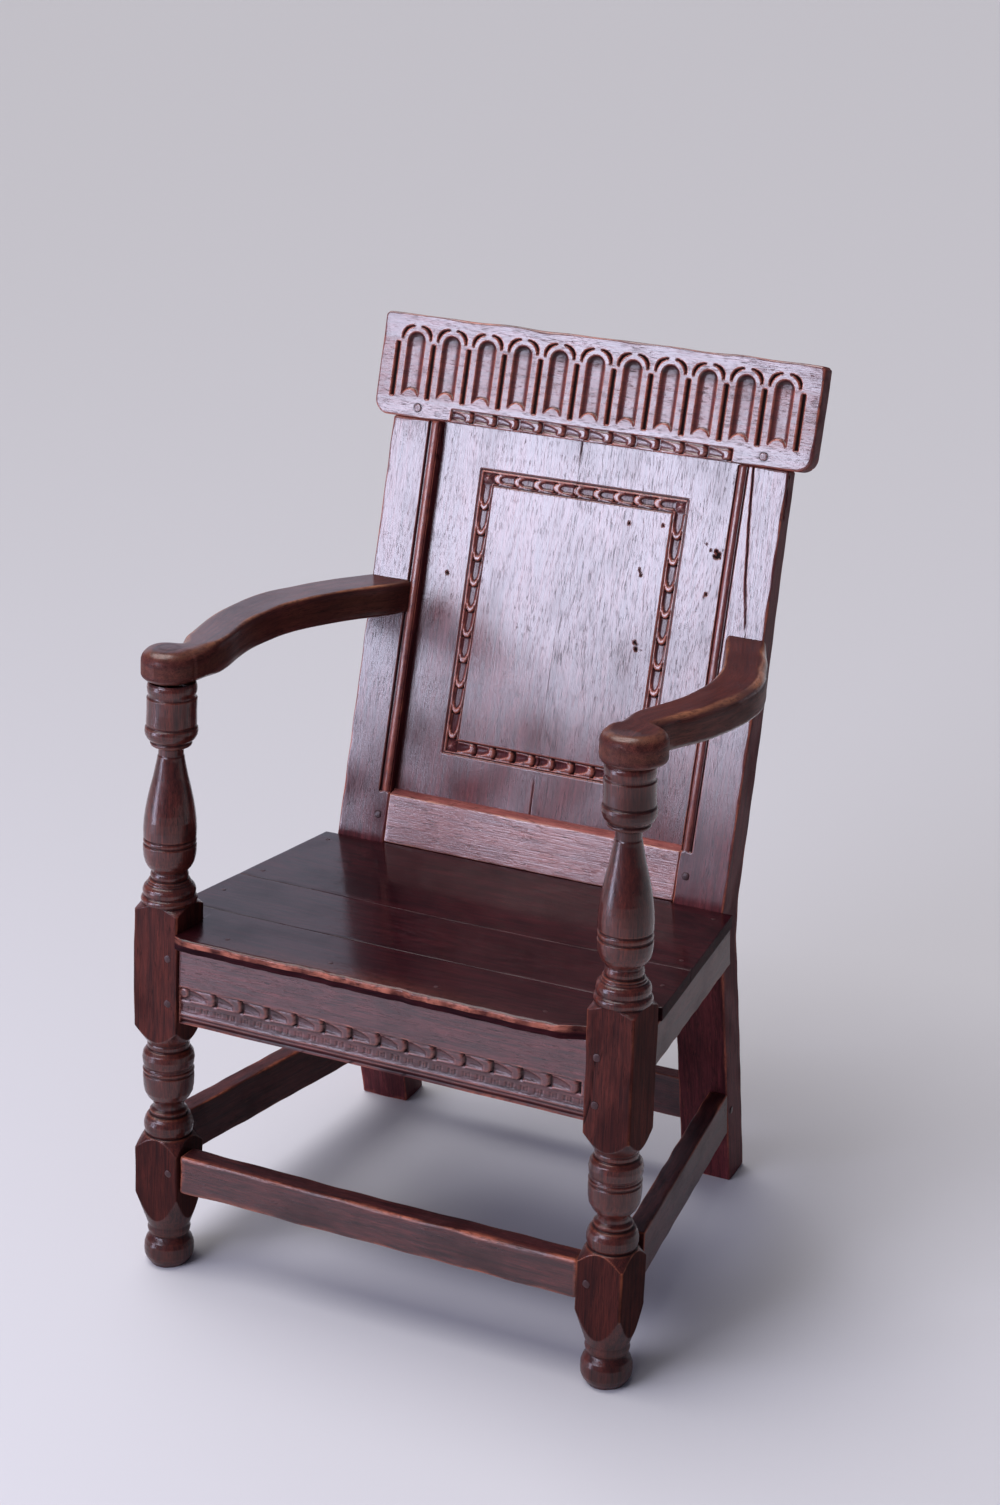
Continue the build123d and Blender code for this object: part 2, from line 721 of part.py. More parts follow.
with BuildPart() as arm_right:
    with BuildSketch(arm_plane):
        with BuildLine():
            pad_round = ThreePointArc(
                (pad_x - arm_pad_radius, 0),
                (pad_x, -arm_pad_radius),
                (pad_x + pad_turn_x, pad_turn_y),
            )
            outer_edge = Spline(
                pad_round @ 1,
                (leg_x + arm_neck_out, arm_neck_y),
                (leg_x + arm_flare_out, arm_flare_y),
                (leg_x + arm_bow, arm_bow_y),
                (leg_x + arm_return_out, arm_return_y),
                (stile_outer, arm_end_y + arm_edge),
                tangents=[pad_round % 1, (-0.55, 0.84)],
            )
            inner_edge = Spline(
                pad_round @ 0,
                (leg_x - arm_neck_in, arm_neck_y),
                (leg_x - arm_flare_in, arm_flare_y),
                (leg_x + arm_bow - arm_wide, arm_bow_y),
                (leg_x - arm_return_in, arm_return_y),
                (stile_outer - arm_back_wide, arm_end_y + arm_edge),
                tangents=[(0, 1), (-0.35, 0.94)],
            )
            Line(outer_edge @ 1, inner_edge @ 1)
        make_face()
    extrude(amount=arm_thick)
    for face in (arm_right.faces().sort_by(Axis.Z)[-1], arm_right.faces().sort_by(Axis.Z)[0]):
        curved_edges = [edge for edge in face.edges() if edge.geom_type != GeomType.LINE]
        fillet(curved_edges, arm_edge)
    split(bisect_by=stile_front_plane, keep=Keep.TOP)
    block(arm_tenon)
    # Bored for the leg's tenon, and pared level underneath to sit on its collar
    with Locations((leg_x, 0, arm_under + arm_thick / 2)):
        Cylinder(arm_tenon_radius + joint_gap, arm_thick + 12, mode=Mode.SUBTRACT)
    with Locations((leg_x, 0, arm_under - 5)):
        Cylinder(collar_radius + 1, 10, mode=Mode.SUBTRACT)

with BuildPart() as arm_left:
    mirror(arm_right.part, about=Plane.YZ)

# Seat boards, set out on one outline and parted at the joints
seat_notch_y = half_block + joint_gap
seat_notch_x = block_inner - joint_gap
seat_back_y = min(kink_y, leg_front(seat_underside)) - joint_gap
seat_tongue_x = stile_inner - joint_gap
pin_radius = 3.2
pin_length = 34.0
pin_z = seat_top + 0.2


def pin_points():
    # Pins over the front and side rails
    over_rails = [
        (hand * across, rail_face_y + front_rail_thick / 2)
        for across in (front_pin_near, front_pin_far)
        for hand in (1, -1)
    ]
    over_sides = [
        (hand * (side_face(y) - side_rail_thick / 2), y)
        for y in (side_pin_first, side_pin_second, side_pin_third, side_pin_last)
        for hand in (1, -1)
    ]
    return over_rails + over_sides


def pin_holes():
    for x, y in pin_points():
        dowel(
            (x, y, pin_z),
            (0, 0, -1),
            pin_radius + joint_gap,
            pin_length + joint_gap,
            mode=Mode.SUBTRACT,
        )


with BuildPart() as front_seat_rail:
    block(
        (
            (-block_inner, block_inner),
            (rail_face_y, rail_face_y + front_rail_thick),
            (front_rail_bottom, seat_underside),
        )
    )
    for hand in (1, -1):
        block(on_hand(front_rail_tenon, hand))
        for peg in (front_rail_peg_high, front_rail_peg_low):
            peg_hole(Vector(hand * peg.X, peg.Y, peg.Z), backwards)
    face = Plane(origin=(0, rail_face_y, 0), x_dir=(1, 0, 0), z_dir=(0, -1, 0))
    with BuildSketch(face):
        with Locations((0, front_rail_bottom + 36)):
            with GridLocations(null_pitch, 1, null_count, 1):
                SlotOverall(null_pitch * 0.76, 10)
    extrude(amount=-null_deep, mode=Mode.SUBTRACT)
    # Scratched fillets over the lower edge
    block(
        (
            (-block_inner + 6, block_inner - 6),
            (rail_face_y, rail_face_y + 1.5),
            (front_rail_bottom + 8, front_rail_bottom + 10.5),
        ),
        mode=Mode.SUBTRACT,
    )
    pin_holes()

post_front_plane = Plane(
    origin=(0, kink_y, kink_z), z_dir=Vector(0, -1, 0).rotate(Axis.X, leg_splay)
)

with BuildPart() as right_seat_rail:
    with BuildSketch(Plane.XY.offset(side_rail_bottom)):
        with BuildLine():
            far = stile_outer + half_block + seat_side_front
            Polyline(
                (side_face(half_block), half_block),
                (side_face(far), far),
                (side_face(far) - side_rail_thick, far),
                (side_face(half_block) - side_rail_thick, half_block),
                (side_face(half_block), half_block),
            )
        make_face()
    extrude(amount=seat_underside - side_rail_bottom)
    split(bisect_by=post_front_plane, keep=Keep.TOP)
    block(side_rail_front_tenon)
    block(side_rail_back_tenon)
    peg_hole(side_rail_peg_front, inwards)
    peg_hole(side_rail_peg_back, inwards)
    pin_holes()

with BuildPart() as left_seat_rail:
    mirror(right_seat_rail.part, about=Plane.YZ)

with BuildPart() as right_stretcher:
    reach = stretcher_back_y + 20
    with BuildSketch(Plane.XY.offset(side_stretcher_bottom)):
        with BuildLine():
            narrowing = (side_stretcher_front - side_stretcher_back) / (
                stretcher_back_y - half_block
            )
            end_x = side_stretcher_front - narrowing * (reach - half_block)
            Polyline(
                (side_stretcher_front, half_block),
                (end_x, reach),
                (end_x - side_stretcher_thick, reach),
                (side_stretcher_front - side_stretcher_thick, half_block),
                (side_stretcher_front, half_block),
            )
        make_face()
    extrude(amount=side_stretcher_top - side_stretcher_bottom)
    split(bisect_by=post_front_plane, keep=Keep.TOP)
    block(side_stretcher_front_tenon)
    block(side_stretcher_back_tenon)
    peg_hole(side_stretcher_peg_front, inwards)
    peg_hole(side_stretcher_peg_back, inwards)

with BuildPart() as left_stretcher:
    mirror(right_stretcher.part, about=Plane.YZ)

with BuildPart() as front_stretcher:
    block(
        (
            (-block_inner, block_inner),
            (rail_face_y, rail_face_y + front_stretcher_thick),
            (front_stretcher_bottom, front_stretcher_top),
        )
    )
    top_front_edge = front_stretcher.edges().filter_by(Axis.X).group_by(Axis.Z)[-1]
    fillet(top_front_edge, 5)
    for hand in (1, -1):
        block(on_hand(front_stretcher_tenon, hand))
        peg = front_stretcher_peg
        peg_hole(Vector(hand * peg.X, peg.Y, peg.Z), backwards)

with BuildPart() as back_seat_rail:
    block(
        (
            (-stile_inner, stile_inner),
            (back_seat_rail_y, back_seat_rail_y + back_seat_rail_thick),
            (back_seat_rail_bottom, seat_underside),
        )
    )
    for hand in (1, -1):
        block(on_hand(back_seat_rail_tenon, hand))
        peg = back_seat_rail_peg
        peg_hole(Vector(hand * peg.X, peg.Y, peg.Z), forwards)

with BuildPart() as back_stretcher:
    block(
        (
            (-stile_inner, stile_inner),
            (
                back_stretcher_middle - back_stretcher_thick / 2,
                back_stretcher_middle + back_stretcher_thick / 2,
            ),
            (back_stretcher_bottom, back_stretcher_top),
        )
    )
    for hand in (1, -1):
        block(on_hand(back_stretcher_tenon, hand))
        peg = back_stretcher_peg
        peg_hole(Vector(hand * peg.X, peg.Y, peg.Z), forwards)


def seat_side(y):
    return seat_side_front - seat_side_slope * y


def seat_board(corners):
    # One board from the corners of its right-hand edge, front to back
    with BuildSketch(Plane.XY.offset(seat_underside)) as outline:
        with BuildLine():
            left_corners = [(-x, y) for x, y in reversed(corners)]
            Polyline(*corners, *left_corners, corners[0])
        make_face()
    extrude(outline.sketch, amount=seat_thick)


with BuildPart() as seat_board_front:
    seat_board(
        [
            (block_inner - 27, seat_front_y),
            (block_inner - 12, seat_front_y + 5),
            (seat_notch_x, seat_front_y + 18),
            (seat_notch_x, seat_notch_y),
            (seat_side(seat_notch_y), seat_notch_y),
            (seat_side(seat_joint_front), seat_joint_front),
        ]
    )
    nosing = seat_board_front.edges().filter_by(Axis.X).group_by(Axis.Y)[0]
    fillet(nosing, seat_thick / 2 - 2)
    pin_holes()

with BuildPart() as seat_board_middle:
    seat_board(
        [
            (seat_side(seat_joint_front), seat_joint_front),
            (seat_side(seat_joint_back), seat_joint_back),
        ]
    )
    pin_holes()

with BuildPart() as seat_board_back:
    seat_board(
        [
            (seat_side(seat_joint_back), seat_joint_back),
            (seat_side(seat_back_y), seat_back_y),
            (seat_tongue_x, seat_back_y),
            (seat_tongue_x, seat_under_back),
        ]
    )
    far_corners = (
        seat_board_back.edges()
        .filter_by(Axis.Z)
        .sort_by(lambda edge: -abs(edge.center().X) - edge.center().Y)[:2]
    )
    fillet(far_corners, 9)
    pin_holes()

with BuildPart() as seat_pins:
    for x, y in pin_points():
        dowel((x, y, pin_z), (0, 0, -1), pin_radius, pin_length)


def peg_pair(start, along):
    # The same peg on both hands of the chair
    dowel(start, along, peg_radius, peg_length)
    other = (-along[0], along[1], along[2])
    dowel(mirror_across(start), other, peg_radius, peg_length)


with BuildPart() as crest_rail_pegs:
    for start in (crest_peg, mirror_across(crest_peg)):
        dowel(start, into_back, peg_radius, crest_thick + crest_proud)

with BuildPart() as lower_back_rail_pegs:
    peg_pair(lower_rail_peg, into_back)

with BuildPart() as front_rail_pegs:
    peg_pair(front_rail_peg_high, backwards)
    peg_pair(front_rail_peg_low, backwards)

with BuildPart() as front_stretcher_pegs:
    peg_pair(front_stretcher_peg, backwards)

with BuildPart() as back_rail_pegs:
    peg_pair(back_seat_rail_peg, forwards)

with BuildPart() as back_stretcher_pegs:
    peg_pair(back_stretcher_peg, forwards)

with BuildPart() as right_rail_pegs:
    dowel(side_rail_peg_front, inwards, peg_radius, peg_length)
    dowel(side_rail_peg_back, inwards, peg_radius, peg_length)

with BuildPart() as left_rail_pegs:
    mirror(right_rail_pegs.part, about=Plane.YZ)

with BuildPart() as right_stretcher_pegs:
    dowel(side_stretcher_peg_front, inwards, peg_radius, peg_length)
    dowel(side_stretcher_peg_back, inwards, peg_radius, peg_length)

with BuildPart() as left_stretcher_pegs:
    mirror(right_stretcher_pegs.part, about=Plane.YZ)

pieces = {
    "front_leg_left": front_leg_left.part,
    "front_leg_right": front_leg_right.part,
    "back_post_left": back_post_left.part,
    "back_post_right": back_post_right.part,
    "crest_rail": crest_rail.part,
    "lower_back_rail": lower_back_rail.part,
    "panel_board_left": panel_board_left.part,
    "panel_board_right": panel_board_right.part,
    "arm_left": arm_left.part,
    "arm_right": arm_right.part,
    "front_seat_rail": front_seat_rail.part,
    "left_seat_rail": left_seat_rail.part,
    "right_seat_rail": right_seat_rail.part,
    "back_seat_rail": back_seat_rail.part,
    "front_stretcher": front_stretcher.part,
    "left_stretcher": left_stretcher.part,
    "right_stretcher": right_stretcher.part,
    "back_stretcher": back_stretcher.part,
    "seat_board_front": seat_board_front.part,
    "seat_board_middle": seat_board_middle.part,
    "seat_board_back": seat_board_back.part,
    "crest_rail_pegs": crest_rail_pegs.part,
    "lower_back_rail_pegs": lower_back_rail_pegs.part,
    "front_rail_pegs": front_rail_pegs.part,
    "front_stretcher_pegs": front_stretcher_pegs.part,
    "left_rail_pegs": left_rail_pegs.part,
    "right_rail_pegs": right_rail_pegs.part,
    "back_rail_pegs": back_rail_pegs.part,
    "left_stretcher_pegs": left_stretcher_pegs.part,
    "right_stretcher_pegs": right_stretcher_pegs.part,
    "back_stretcher_pegs": back_stretcher_pegs.part,
    "seat_pins": seat_pins.part,
}

# Lean the chair back on its worn back feet and centre it over the origin
leant = {name: piece.rotate(Axis.X, -chair_lean) for name, piece in pieces.items()}
front_edge_y = min(piece.bounding_box().min.Y for piece in leant.values())
back_edge_y = max(piece.bounding_box().max.Y for piece in leant.values())
centre_shift = Location((0, -(front_edge_y + back_edge_y) / 2, 0))

os.makedirs("parts", exist_ok=True)
for name, piece in leant.items():
    placed = piece.moved(centre_shift)
    placed.label = name
    export_step(placed, f"parts/{name}.step")
print("depth", back_edge_y - front_edge_y, "shift", centre_shift.position.Y)
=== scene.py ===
import math

import bpy
import numpy as np
from mathutils import Matrix, Vector


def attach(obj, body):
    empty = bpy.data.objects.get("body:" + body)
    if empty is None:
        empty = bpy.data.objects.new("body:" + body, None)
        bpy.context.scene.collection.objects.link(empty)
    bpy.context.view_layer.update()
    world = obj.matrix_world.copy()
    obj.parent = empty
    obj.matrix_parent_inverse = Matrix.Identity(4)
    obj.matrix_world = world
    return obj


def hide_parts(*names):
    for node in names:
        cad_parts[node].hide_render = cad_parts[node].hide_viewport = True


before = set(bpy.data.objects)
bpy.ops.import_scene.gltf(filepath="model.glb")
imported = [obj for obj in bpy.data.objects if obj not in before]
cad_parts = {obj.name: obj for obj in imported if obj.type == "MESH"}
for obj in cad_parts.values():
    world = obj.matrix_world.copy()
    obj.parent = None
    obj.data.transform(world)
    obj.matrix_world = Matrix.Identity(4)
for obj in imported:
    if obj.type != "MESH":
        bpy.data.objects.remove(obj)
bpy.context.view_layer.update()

# Sizes are in millimetres, square to the front legs: x to the right, y to the back, z up the leg.
# The finished chair is leant back and stood over the origin in metres.
chair = {
    "lean": 6.0, "rake": 14.1, "splay": 12.5,           # degrees, for the chair, its back and its back legs
    "shift": 300.702,                                   # back edge to front edge, halved
    "legX": 280.0,                                      # middle of the chair to the middle of a front leg
    "backY": 347.0, "backZ": 429.0, "kinkZ": 415.0,     # foot of the raked face, and the bend of the posts
}

leanCos, leanSin = math.cos(math.radians(chair["lean"])), math.sin(math.radians(chair["lean"]))
rakeCos, rakeSin = math.cos(math.radians(chair["rake"])), math.sin(math.radians(chair["rake"]))
kinkY = chair["backY"] - (chair["backZ"] - chair["kinkZ"]) * rakeSin / rakeCos
legSlope = math.tan(math.radians(chair["splay"]))


def leant(points):
    x, y, z = points[..., 0], points[..., 1], points[..., 2]
    return np.stack([x, y * leanCos + z * leanSin, z * leanCos - y * leanSin], axis=-1)


def stand(points):
    # Chair millimetres to metres on the floor
    return (leant(points) - [0.0, chair["shift"], 0.0]) / 1000.0


def onBack(x, up, behind):
    # Across, up the raked face and behind it
    y = chair["backY"] + up * rakeSin + behind * rakeCos
    z = chair["backZ"] + up * rakeCos - behind * rakeSin
    return np.stack([x, y, z], axis=-1)


def floorHeight(y):
    return y * leanSin / leanCos


def legFront(z):
    # The front face of the back legs
    return kinkY + (chair["kinkZ"] - z) * legSlope


def unit(value):
    return np.clip(value, 0, 1)


def ease(low, high, value):
    t = np.clip((value - low) / (high - low), 0.0, 1.0)
    return t * t * (3.0 - 2.0 * t)


def bell(offset, wide):
    return np.exp(-(offset / wide) ** 2)


def within(value, spans):
    return np.logical_or.reduce([(value > low) & (value < high) for low, high in spans])


def drift(seed, *coords, reach=60.0):
    # Slow irregular waves from about -1 to 1
    rng = np.random.RandomState(seed)
    total = 0.0
    for _ in range(5):
        phase = rng.uniform(0, 2 * math.pi)
        for coord in coords:
            phase = phase + coord * rng.uniform(-1.0, 1.0) * 2 * math.pi / reach
        total = total + np.sin(phase)
    return total / 3.0


def addObject(name, data):
    added = bpy.data.objects.new(name, data)
    bpy.context.scene.collection.objects.link(added)
    return added


def makeMesh(name, points, faces, wear, dirt, matt, grain, finish, node):
    # One finished piece, with its wear, its dirt and painted shade, its dullness and grain direction kept on the mesh
    a, b, c, d = (points[faces[:, n]] for n in range(4))
    if np.einsum("ij,ij->i", a - points.mean(axis=0), np.cross(c - a, d - b)).sum() < 0:
        faces = faces[:, ::-1]
    mesh = bpy.data.meshes.new(name)
    mesh.vertices.add(len(points))
    mesh.vertices.foreach_set("co", stand(points).astype(np.float32).ravel())
    mesh.loops.add(faces.size)
    mesh.loops.foreach_set("vertex_index", faces.astype(np.int32).ravel())
    mesh.polygons.add(len(faces))
    mesh.polygons.foreach_set("loop_start", np.arange(0, faces.size, 4, dtype=np.int32))
    mesh.polygons.foreach_set("loop_total", np.full(len(faces), 4, dtype=np.int32))
    mesh.polygons.foreach_set("use_smooth", np.ones(len(faces), dtype=bool))
    for label, values in (("wear", unit(wear)), ("dirt", unit(dirt)), ("matt", matt)):
        layer = mesh.attributes.new(label, "FLOAT", "POINT")
        layer.data.foreach_set("value", values.ravel().astype(np.float32))
    layer = mesh.attributes.new("grain", "FLOAT_VECTOR", "POINT")
    layer.data.foreach_set("vector", grain.astype(np.float32).ravel())
    mesh.update()
    mesh.validate()
    mesh.materials.append(finishes[finish])
    piece = addObject(name, mesh)
    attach(piece, "root")
    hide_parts(node)


def ringFaces(rows, count, start=0):
    # The faces between closed rings of points
    i, j = np.meshgrid(np.arange(rows - 1), np.arange(count), indexing="ij")
    a = start + i * count + j
    b = start + i * count + (j + 1) % count
    return np.stack([a, b, b + count, a + count], -1).reshape(-1, 4)


def gridLines(low, high, edge, step, extra=()):
    # Positions along one side of a board, close together at its two ends
    inner = np.arange(low + edge, high - edge, step)
    ends = edge * np.array([0.0, 0.12, 0.3, 0.55, 0.8])
    lines = np.concatenate([low + ends, inner, [high - edge], high - ends, np.array(extra, float)])
    lines = np.unique(np.round(lines, 3))
    return lines[(lines >= low) & (lines <= high)]


def latticeShell(counts):
    # Every outside point of a block of lattice cells, and the faces between them
    quads = []
    for axis in (2, 1, 0):
        first, second = (n for n in range(3) if n != axis)
        for at, turn in ((0, axis != 1), (counts[axis] - 1, axis == 1)):
            cell = [None] * 3
            cell[first], cell[second] = np.meshgrid(np.arange(counts[first]), np.arange(counts[second]), indexing="ij")
            cell[axis] = np.full_like(cell[first], at)
            i, j, k = (part[:, ::-1] for part in cell) if turn else cell
            key = (i * counts[1] + j) * counts[2] + k
            quads.append(np.stack([key[:-1, :-1], key[1:, :-1], key[1:, 1:], key[:-1, 1:]], -1).reshape(-1, 4))
    keys, index = np.unique(np.concatenate(quads).ravel(), return_inverse=True)
    return np.unravel_index(keys, tuple(counts)), index.reshape(-1, 4)


def sharpness(relief, x, up, reach):
    # How far a carved face stands over its surroundings (wear) or sinks under them (painted shade)
    around = 0.0
    for angle in np.arange(8) * math.pi / 4:
        around = around + relief(x + reach * math.cos(angle), up + reach * math.sin(angle))
    return around / 8.0 - relief(x, up)


# What a board has unless its own settings say otherwise
boardUsual = {
    "edgeWear": 1.0, "faceMatt": 0.0, "sideMatt": 0.9,
    "reach": 2.2, "wearGain": 0.6, "darkPerDepth": 0.09, "cavityShade": 0.30,
}


def board(name, low, high, settings, bend, grainAxis, finish, node, relief=None, lines=((), (), ())):
    # A sawn piece with worn edges. The third side runs from the face (low) to the back (high).
    settings = {**boardUsual, **settings}
    edge, step, seed = settings["edge"], settings["step"], settings["seed"]
    sides = [gridLines(low[n], high[n], edge, step[n], lines[n]) for n in range(3)]
    cells, faces = latticeShell([len(side) for side in sides])
    points = np.stack([side[cell] for side, cell in zip(sides, cells)], -1)
    face = cells[2] == 0
    # the edges are rounded, and more in some places than in others
    radius = edge * (1.0 + 0.45 * drift(seed, *points.T, reach=45.0))
    radius = np.clip(radius, 0.35 * edge, 1.6 * edge)[:, None]
    lowCorner, highCorner = np.array(low) + radius, np.array(high) - radius
    core = np.minimum(np.maximum(points, lowCorner), np.maximum(highCorner, lowCorner))
    out = points - core
    rounded = core + out / (np.linalg.norm(out, axis=1, keepdims=True) + 1e-9) * radius
    second = np.sort(np.abs(out) / radius, axis=1)[:, 1]
    patchy = 0.55 + 0.6 * drift(seed + 7, *points.T, reach=70.0)
    wear = unit(second * 1.6) * np.clip(patchy, 0.12, 1) * settings["edgeWear"]
    if "rubs" in settings:
        wear = unit(wear + settings["rubs"](*points.T))
    dirt = np.zeros(len(points))
    matt = np.where(face, settings["faceMatt"], settings["sideMatt"])
    grain = rounded[:, [grainAxis, (grainAxis + 1) % 3, (grainAxis + 2) % 3]] + seed * 131.7
    if relief is not None:
        x, up = rounded[face, 0], rounded[face, 1]
        depth = relief(x, up)
        rounded[face, 2] += depth
        stands = sharpness(relief, x, up, settings["reach"])
        wear[face] = unit(wear[face] + stands * settings["wearGain"])
        # each board darkens its carving by its own rule, or else more the deeper it is cut
        grime = settings["grime"](x, up, depth) if "grime" in settings else depth * settings["darkPerDepth"]
        # painted shade where the carving sinks under its surroundings, on top of the board's own darkening
        dirt[face] = unit(-stands * settings["cavityShade"] + grime)
        if "polish" in settings:
            extraWear, matt[face] = settings["polish"](x, up, depth)
            wear[face] = unit(wear[face] + extraWear)
    makeMesh(name, bend(rounded), faces, wear, dirt, matt, grain, finish, node)


def crossBoard(name, settings, bend, finish, node, relief=None):
    # A board that reaches as far to the left as to the right
    low = (-settings["half"], settings["low"], settings["front"])
    high = (settings["half"], settings["high"], settings["back"])
    board(name, low, high, settings, bend, 0, finish, node, relief)


# Each finish: the dark, light and worn colour of the wood, then the other look names in order
lookNames = ("dark", "light", "worn", "level", "rough", "coat", "coatRough", "coatIor", "bump", "pits", "rays")
# The dark and light colours are the wood's own with a violet cast painted in, most in the frame, carved, back, seat
# and peg finishes: it stands in for the cool light's sheen
oakLooks = {
    "frame": ((0.020, 0.0038, 0.0048), (0.128, 0.0245, 0.0235), (0.44, 0.130, 0.075),
              0.12, 0.45, 0.85, 0.34, 1.62, 0.55, 0.6, 0.10),
    # carved is the frame's oak made lighter and more violet for the front rail: a painted sheen from the window
    "carved": ((0.028, 0.0050, 0.0080), (0.200, 0.040, 0.044), (0.48, 0.160, 0.110),
               0.25, 0.45, 0.90, 0.32, 1.75, 0.60, 0.6, 0.12),
    "turned": ((0.024, 0.0044, 0.0044), (0.160, 0.029, 0.019), (0.48, 0.130, 0.060),
               0.14, 0.42, 0.95, 0.09, 1.46, 0.26, 0.5, 0.04),
    "arm": ((0.030, 0.0068, 0.0062), (0.170, 0.042, 0.031), (0.38, 0.150, 0.075),
            0.15, 0.38, 0.65, 0.15, 1.58, 0.26, 0.5, 0.05),
    "back": ((0.040, 0.0055, 0.0085), (0.190, 0.032, 0.037), (0.50, 0.140, 0.085),
             0.20, 0.40, 1.0, 0.21, 1.88, 0.26, 0.22, 0.14),
    "rail": ((0.140, 0.0280, 0.0270), (0.460, 0.130, 0.105), (0.62, 0.280, 0.190),
             0.25, 0.40, 1.0, 0.22, 1.85, 0.34, 0.3, 0.45),
    "seat": ((0.0070, 0.0011, 0.0030), (0.056, 0.0080, 0.0120), (0.42, 0.140, 0.095),
             0.05, 0.30, 0.75, 0.07, 1.48, 0.12, 0.6, 0.03),
    "peg": ((0.014, 0.0032, 0.0045), (0.060, 0.013, 0.018), (0.16, 0.055, 0.050),
            0.20, 0.42, 0.50, 0.28, 1.50, 0.25, 0.5, 0.0),
}
# the grime colour also paints shade into hollows and grooves
poreColour, grimeAndShadeColour = (0.006, 0.0025, 0.0025), (0.009, 0.0032, 0.0034)

# Each layer of noise: stretch along and across the grain, scale, detail and roughness
oakNoise = {
    "figure": ((0.16, 1.0, 1.0), 0.013, 2.0, 0.4),
    "bands": ((0.05, 1.0, 1.0), 0.16, 3.0, 0.55),
    "fibres": ((0.035, 1.0, 1.0), 0.75, 4.0, 0.65),
    "pores": ((0.05, 1.0, 1.0), 1.75, 2.0, 0.5),
    "patches": ((0.35, 0.6, 0.6), 0.03, 4.0, 0.6),
    "flecks": ((0.10, 0.75, 0.75), 0.80, 2.0, 0.5),
    "scuffs": ((0.6, 1.0, 1.0), 0.16, 5.0, 0.7),
}


def newNode(tree, kind, **inputs):
    node = tree.nodes.new(kind)
    for key, value in inputs.items():
        setattr(node, key, value)
    return node


def feed(tree, socket, value):
    # A number or colour is set on the socket, and anything else is linked to it
    if isinstance(value, (int, float)):
        socket.default_value = value
    elif isinstance(value, tuple):
        socket.default_value = (*value, 1.0)
    else:
        tree.links.new(value, socket)


def noiseAt(tree, vector, stretch, scale, detail, roughness):
    # Noise drawn out along the grain
    mapping = newNode(tree, "ShaderNodeMapping")
    mapping.inputs["Scale"].default_value = stretch
    feed(tree, mapping.inputs["Vector"], vector)
    noise = newNode(tree, "ShaderNodeTexNoise")
    for key, value in (("Vector", mapping.outputs["Vector"]), ("Scale", scale), ("Detail", detail),
                       ("Roughness", roughness)):
        feed(tree, noise.inputs[key], value)
    return noise.outputs["Fac"]


def ramp(tree, value, low, high):
    node = newNode(tree, "ShaderNodeMapRange", interpolation_type="SMOOTHSTEP")
    for key, amount in (("From Min", low), ("From Max", high), ("Value", value)):
        feed(tree, node.inputs[key], amount)
    return node.outputs["Result"]


def maths(tree, operation, first, *others):
    for other in others:
        node = newNode(tree, "ShaderNodeMath", operation=operation)
        feed(tree, node.inputs[0], first)
        feed(tree, node.inputs[1], other)
        first = node.outputs["Value"]
    return first


def blendColour(tree, factor, first, second):
    node = newNode(tree, "ShaderNodeMix", data_type="RGBA")
    for key, value in (("Factor", factor), ("A", first), ("B", second)):
        feed(tree, node.inputs[key], value)
    return node.outputs["Result"]


def oakFinish(name, look):
    # Old oak: growth rings, open pores, rays, worn edges, and grime and painted shade in the hollows
    material = bpy.data.materials.new(name)
    material.use_nodes = True
    tree = material.node_tree
    shader = tree.nodes["Principled BSDF"]
    grain = newNode(tree, "ShaderNodeAttribute", attribute_name="grain").outputs["Vector"]
    wear, dirt, matt = (newNode(tree, "ShaderNodeAttribute", attribute_name=key).outputs["Fac"]
                        for key in ("wear", "dirt", "matt"))
    noise = {key: noiseAt(tree, grain, *values) for key, values in oakNoise.items()}

    def add(*terms):
        return maths(tree, "ADD", *terms)

    def times(*factors):
        return maths(tree, "MULTIPLY", *factors)

    def step(key, low, high):
        return ramp(tree, noise[key], low, high)

    rings = maths(tree, "SINE", times(noise["figure"], 150.0), 0.0)
    pore = ramp(tree, add(noise["pores"], times(rings, 0.05)), 0.60, 0.70)     # thicker in the early wood
    rubbed = times(wear, step("scuffs", 0.22, 0.60))
    tone = add(times(step("bands", 0.3, 0.72), 0.38), times(step("fibres", 0.3, 0.75), 0.52), times(rings, 0.10))
    colour = look["dark"]
    for factor, over in ((tone, look["light"]), (times(step("flecks", 0.62, 0.72), look["rays"]), look["worn"]),
                         (times(step("patches", 0.42, 0.7), 0.55), look["dark"]), (rubbed, look["worn"]),
                         (times(pore, 0.8), poreColour), (dirt, grimeAndShadeColour)):
        colour = blendColour(tree, factor, colour, over)
    rough = add(times(noise["fibres"], 0.16), look["rough"] - 0.08, times(noise["patches"], 0.12),
                times(add(dirt, matt), 0.25))
    dull = add(times(pore, 0.20), times(rubbed, 0.35), times(step("patches", 0.45, 0.8), 0.25), add(dirt, matt))
    polish = times(maths(tree, "SUBTRACT", 1.0, maths(tree, "MINIMUM", dull, 1.0)), look["coat"])
    height = maths(tree, "SUBTRACT", times(noise["fibres"], 0.8), times(pore, 0.4))
    bump = newNode(tree, "ShaderNodeBump")
    for key, value in (("Strength", look["bump"]), ("Distance", 0.0007),
                       ("Height", add(height, times(noise["scuffs"], look["pits"])))):
        feed(tree, bump.inputs[key], value)
    for key, value in (("Base Color", colour), ("Roughness", rough), ("Specular IOR Level", look["level"]),
                       ("Coat Weight", polish), ("Coat Roughness", look["coatRough"]), ("Coat IOR", look["coatIor"]),
                       ("Normal", bump.outputs["Normal"]), ("Coat Normal", bump.outputs["Normal"])):
        feed(tree, shader.inputs[key], value)
    return material


finishes = {key: oakFinish("oak" + key.capitalize(), dict(zip(lookNames, look))) for key, look in oakLooks.items()}
print("finishes mixed")


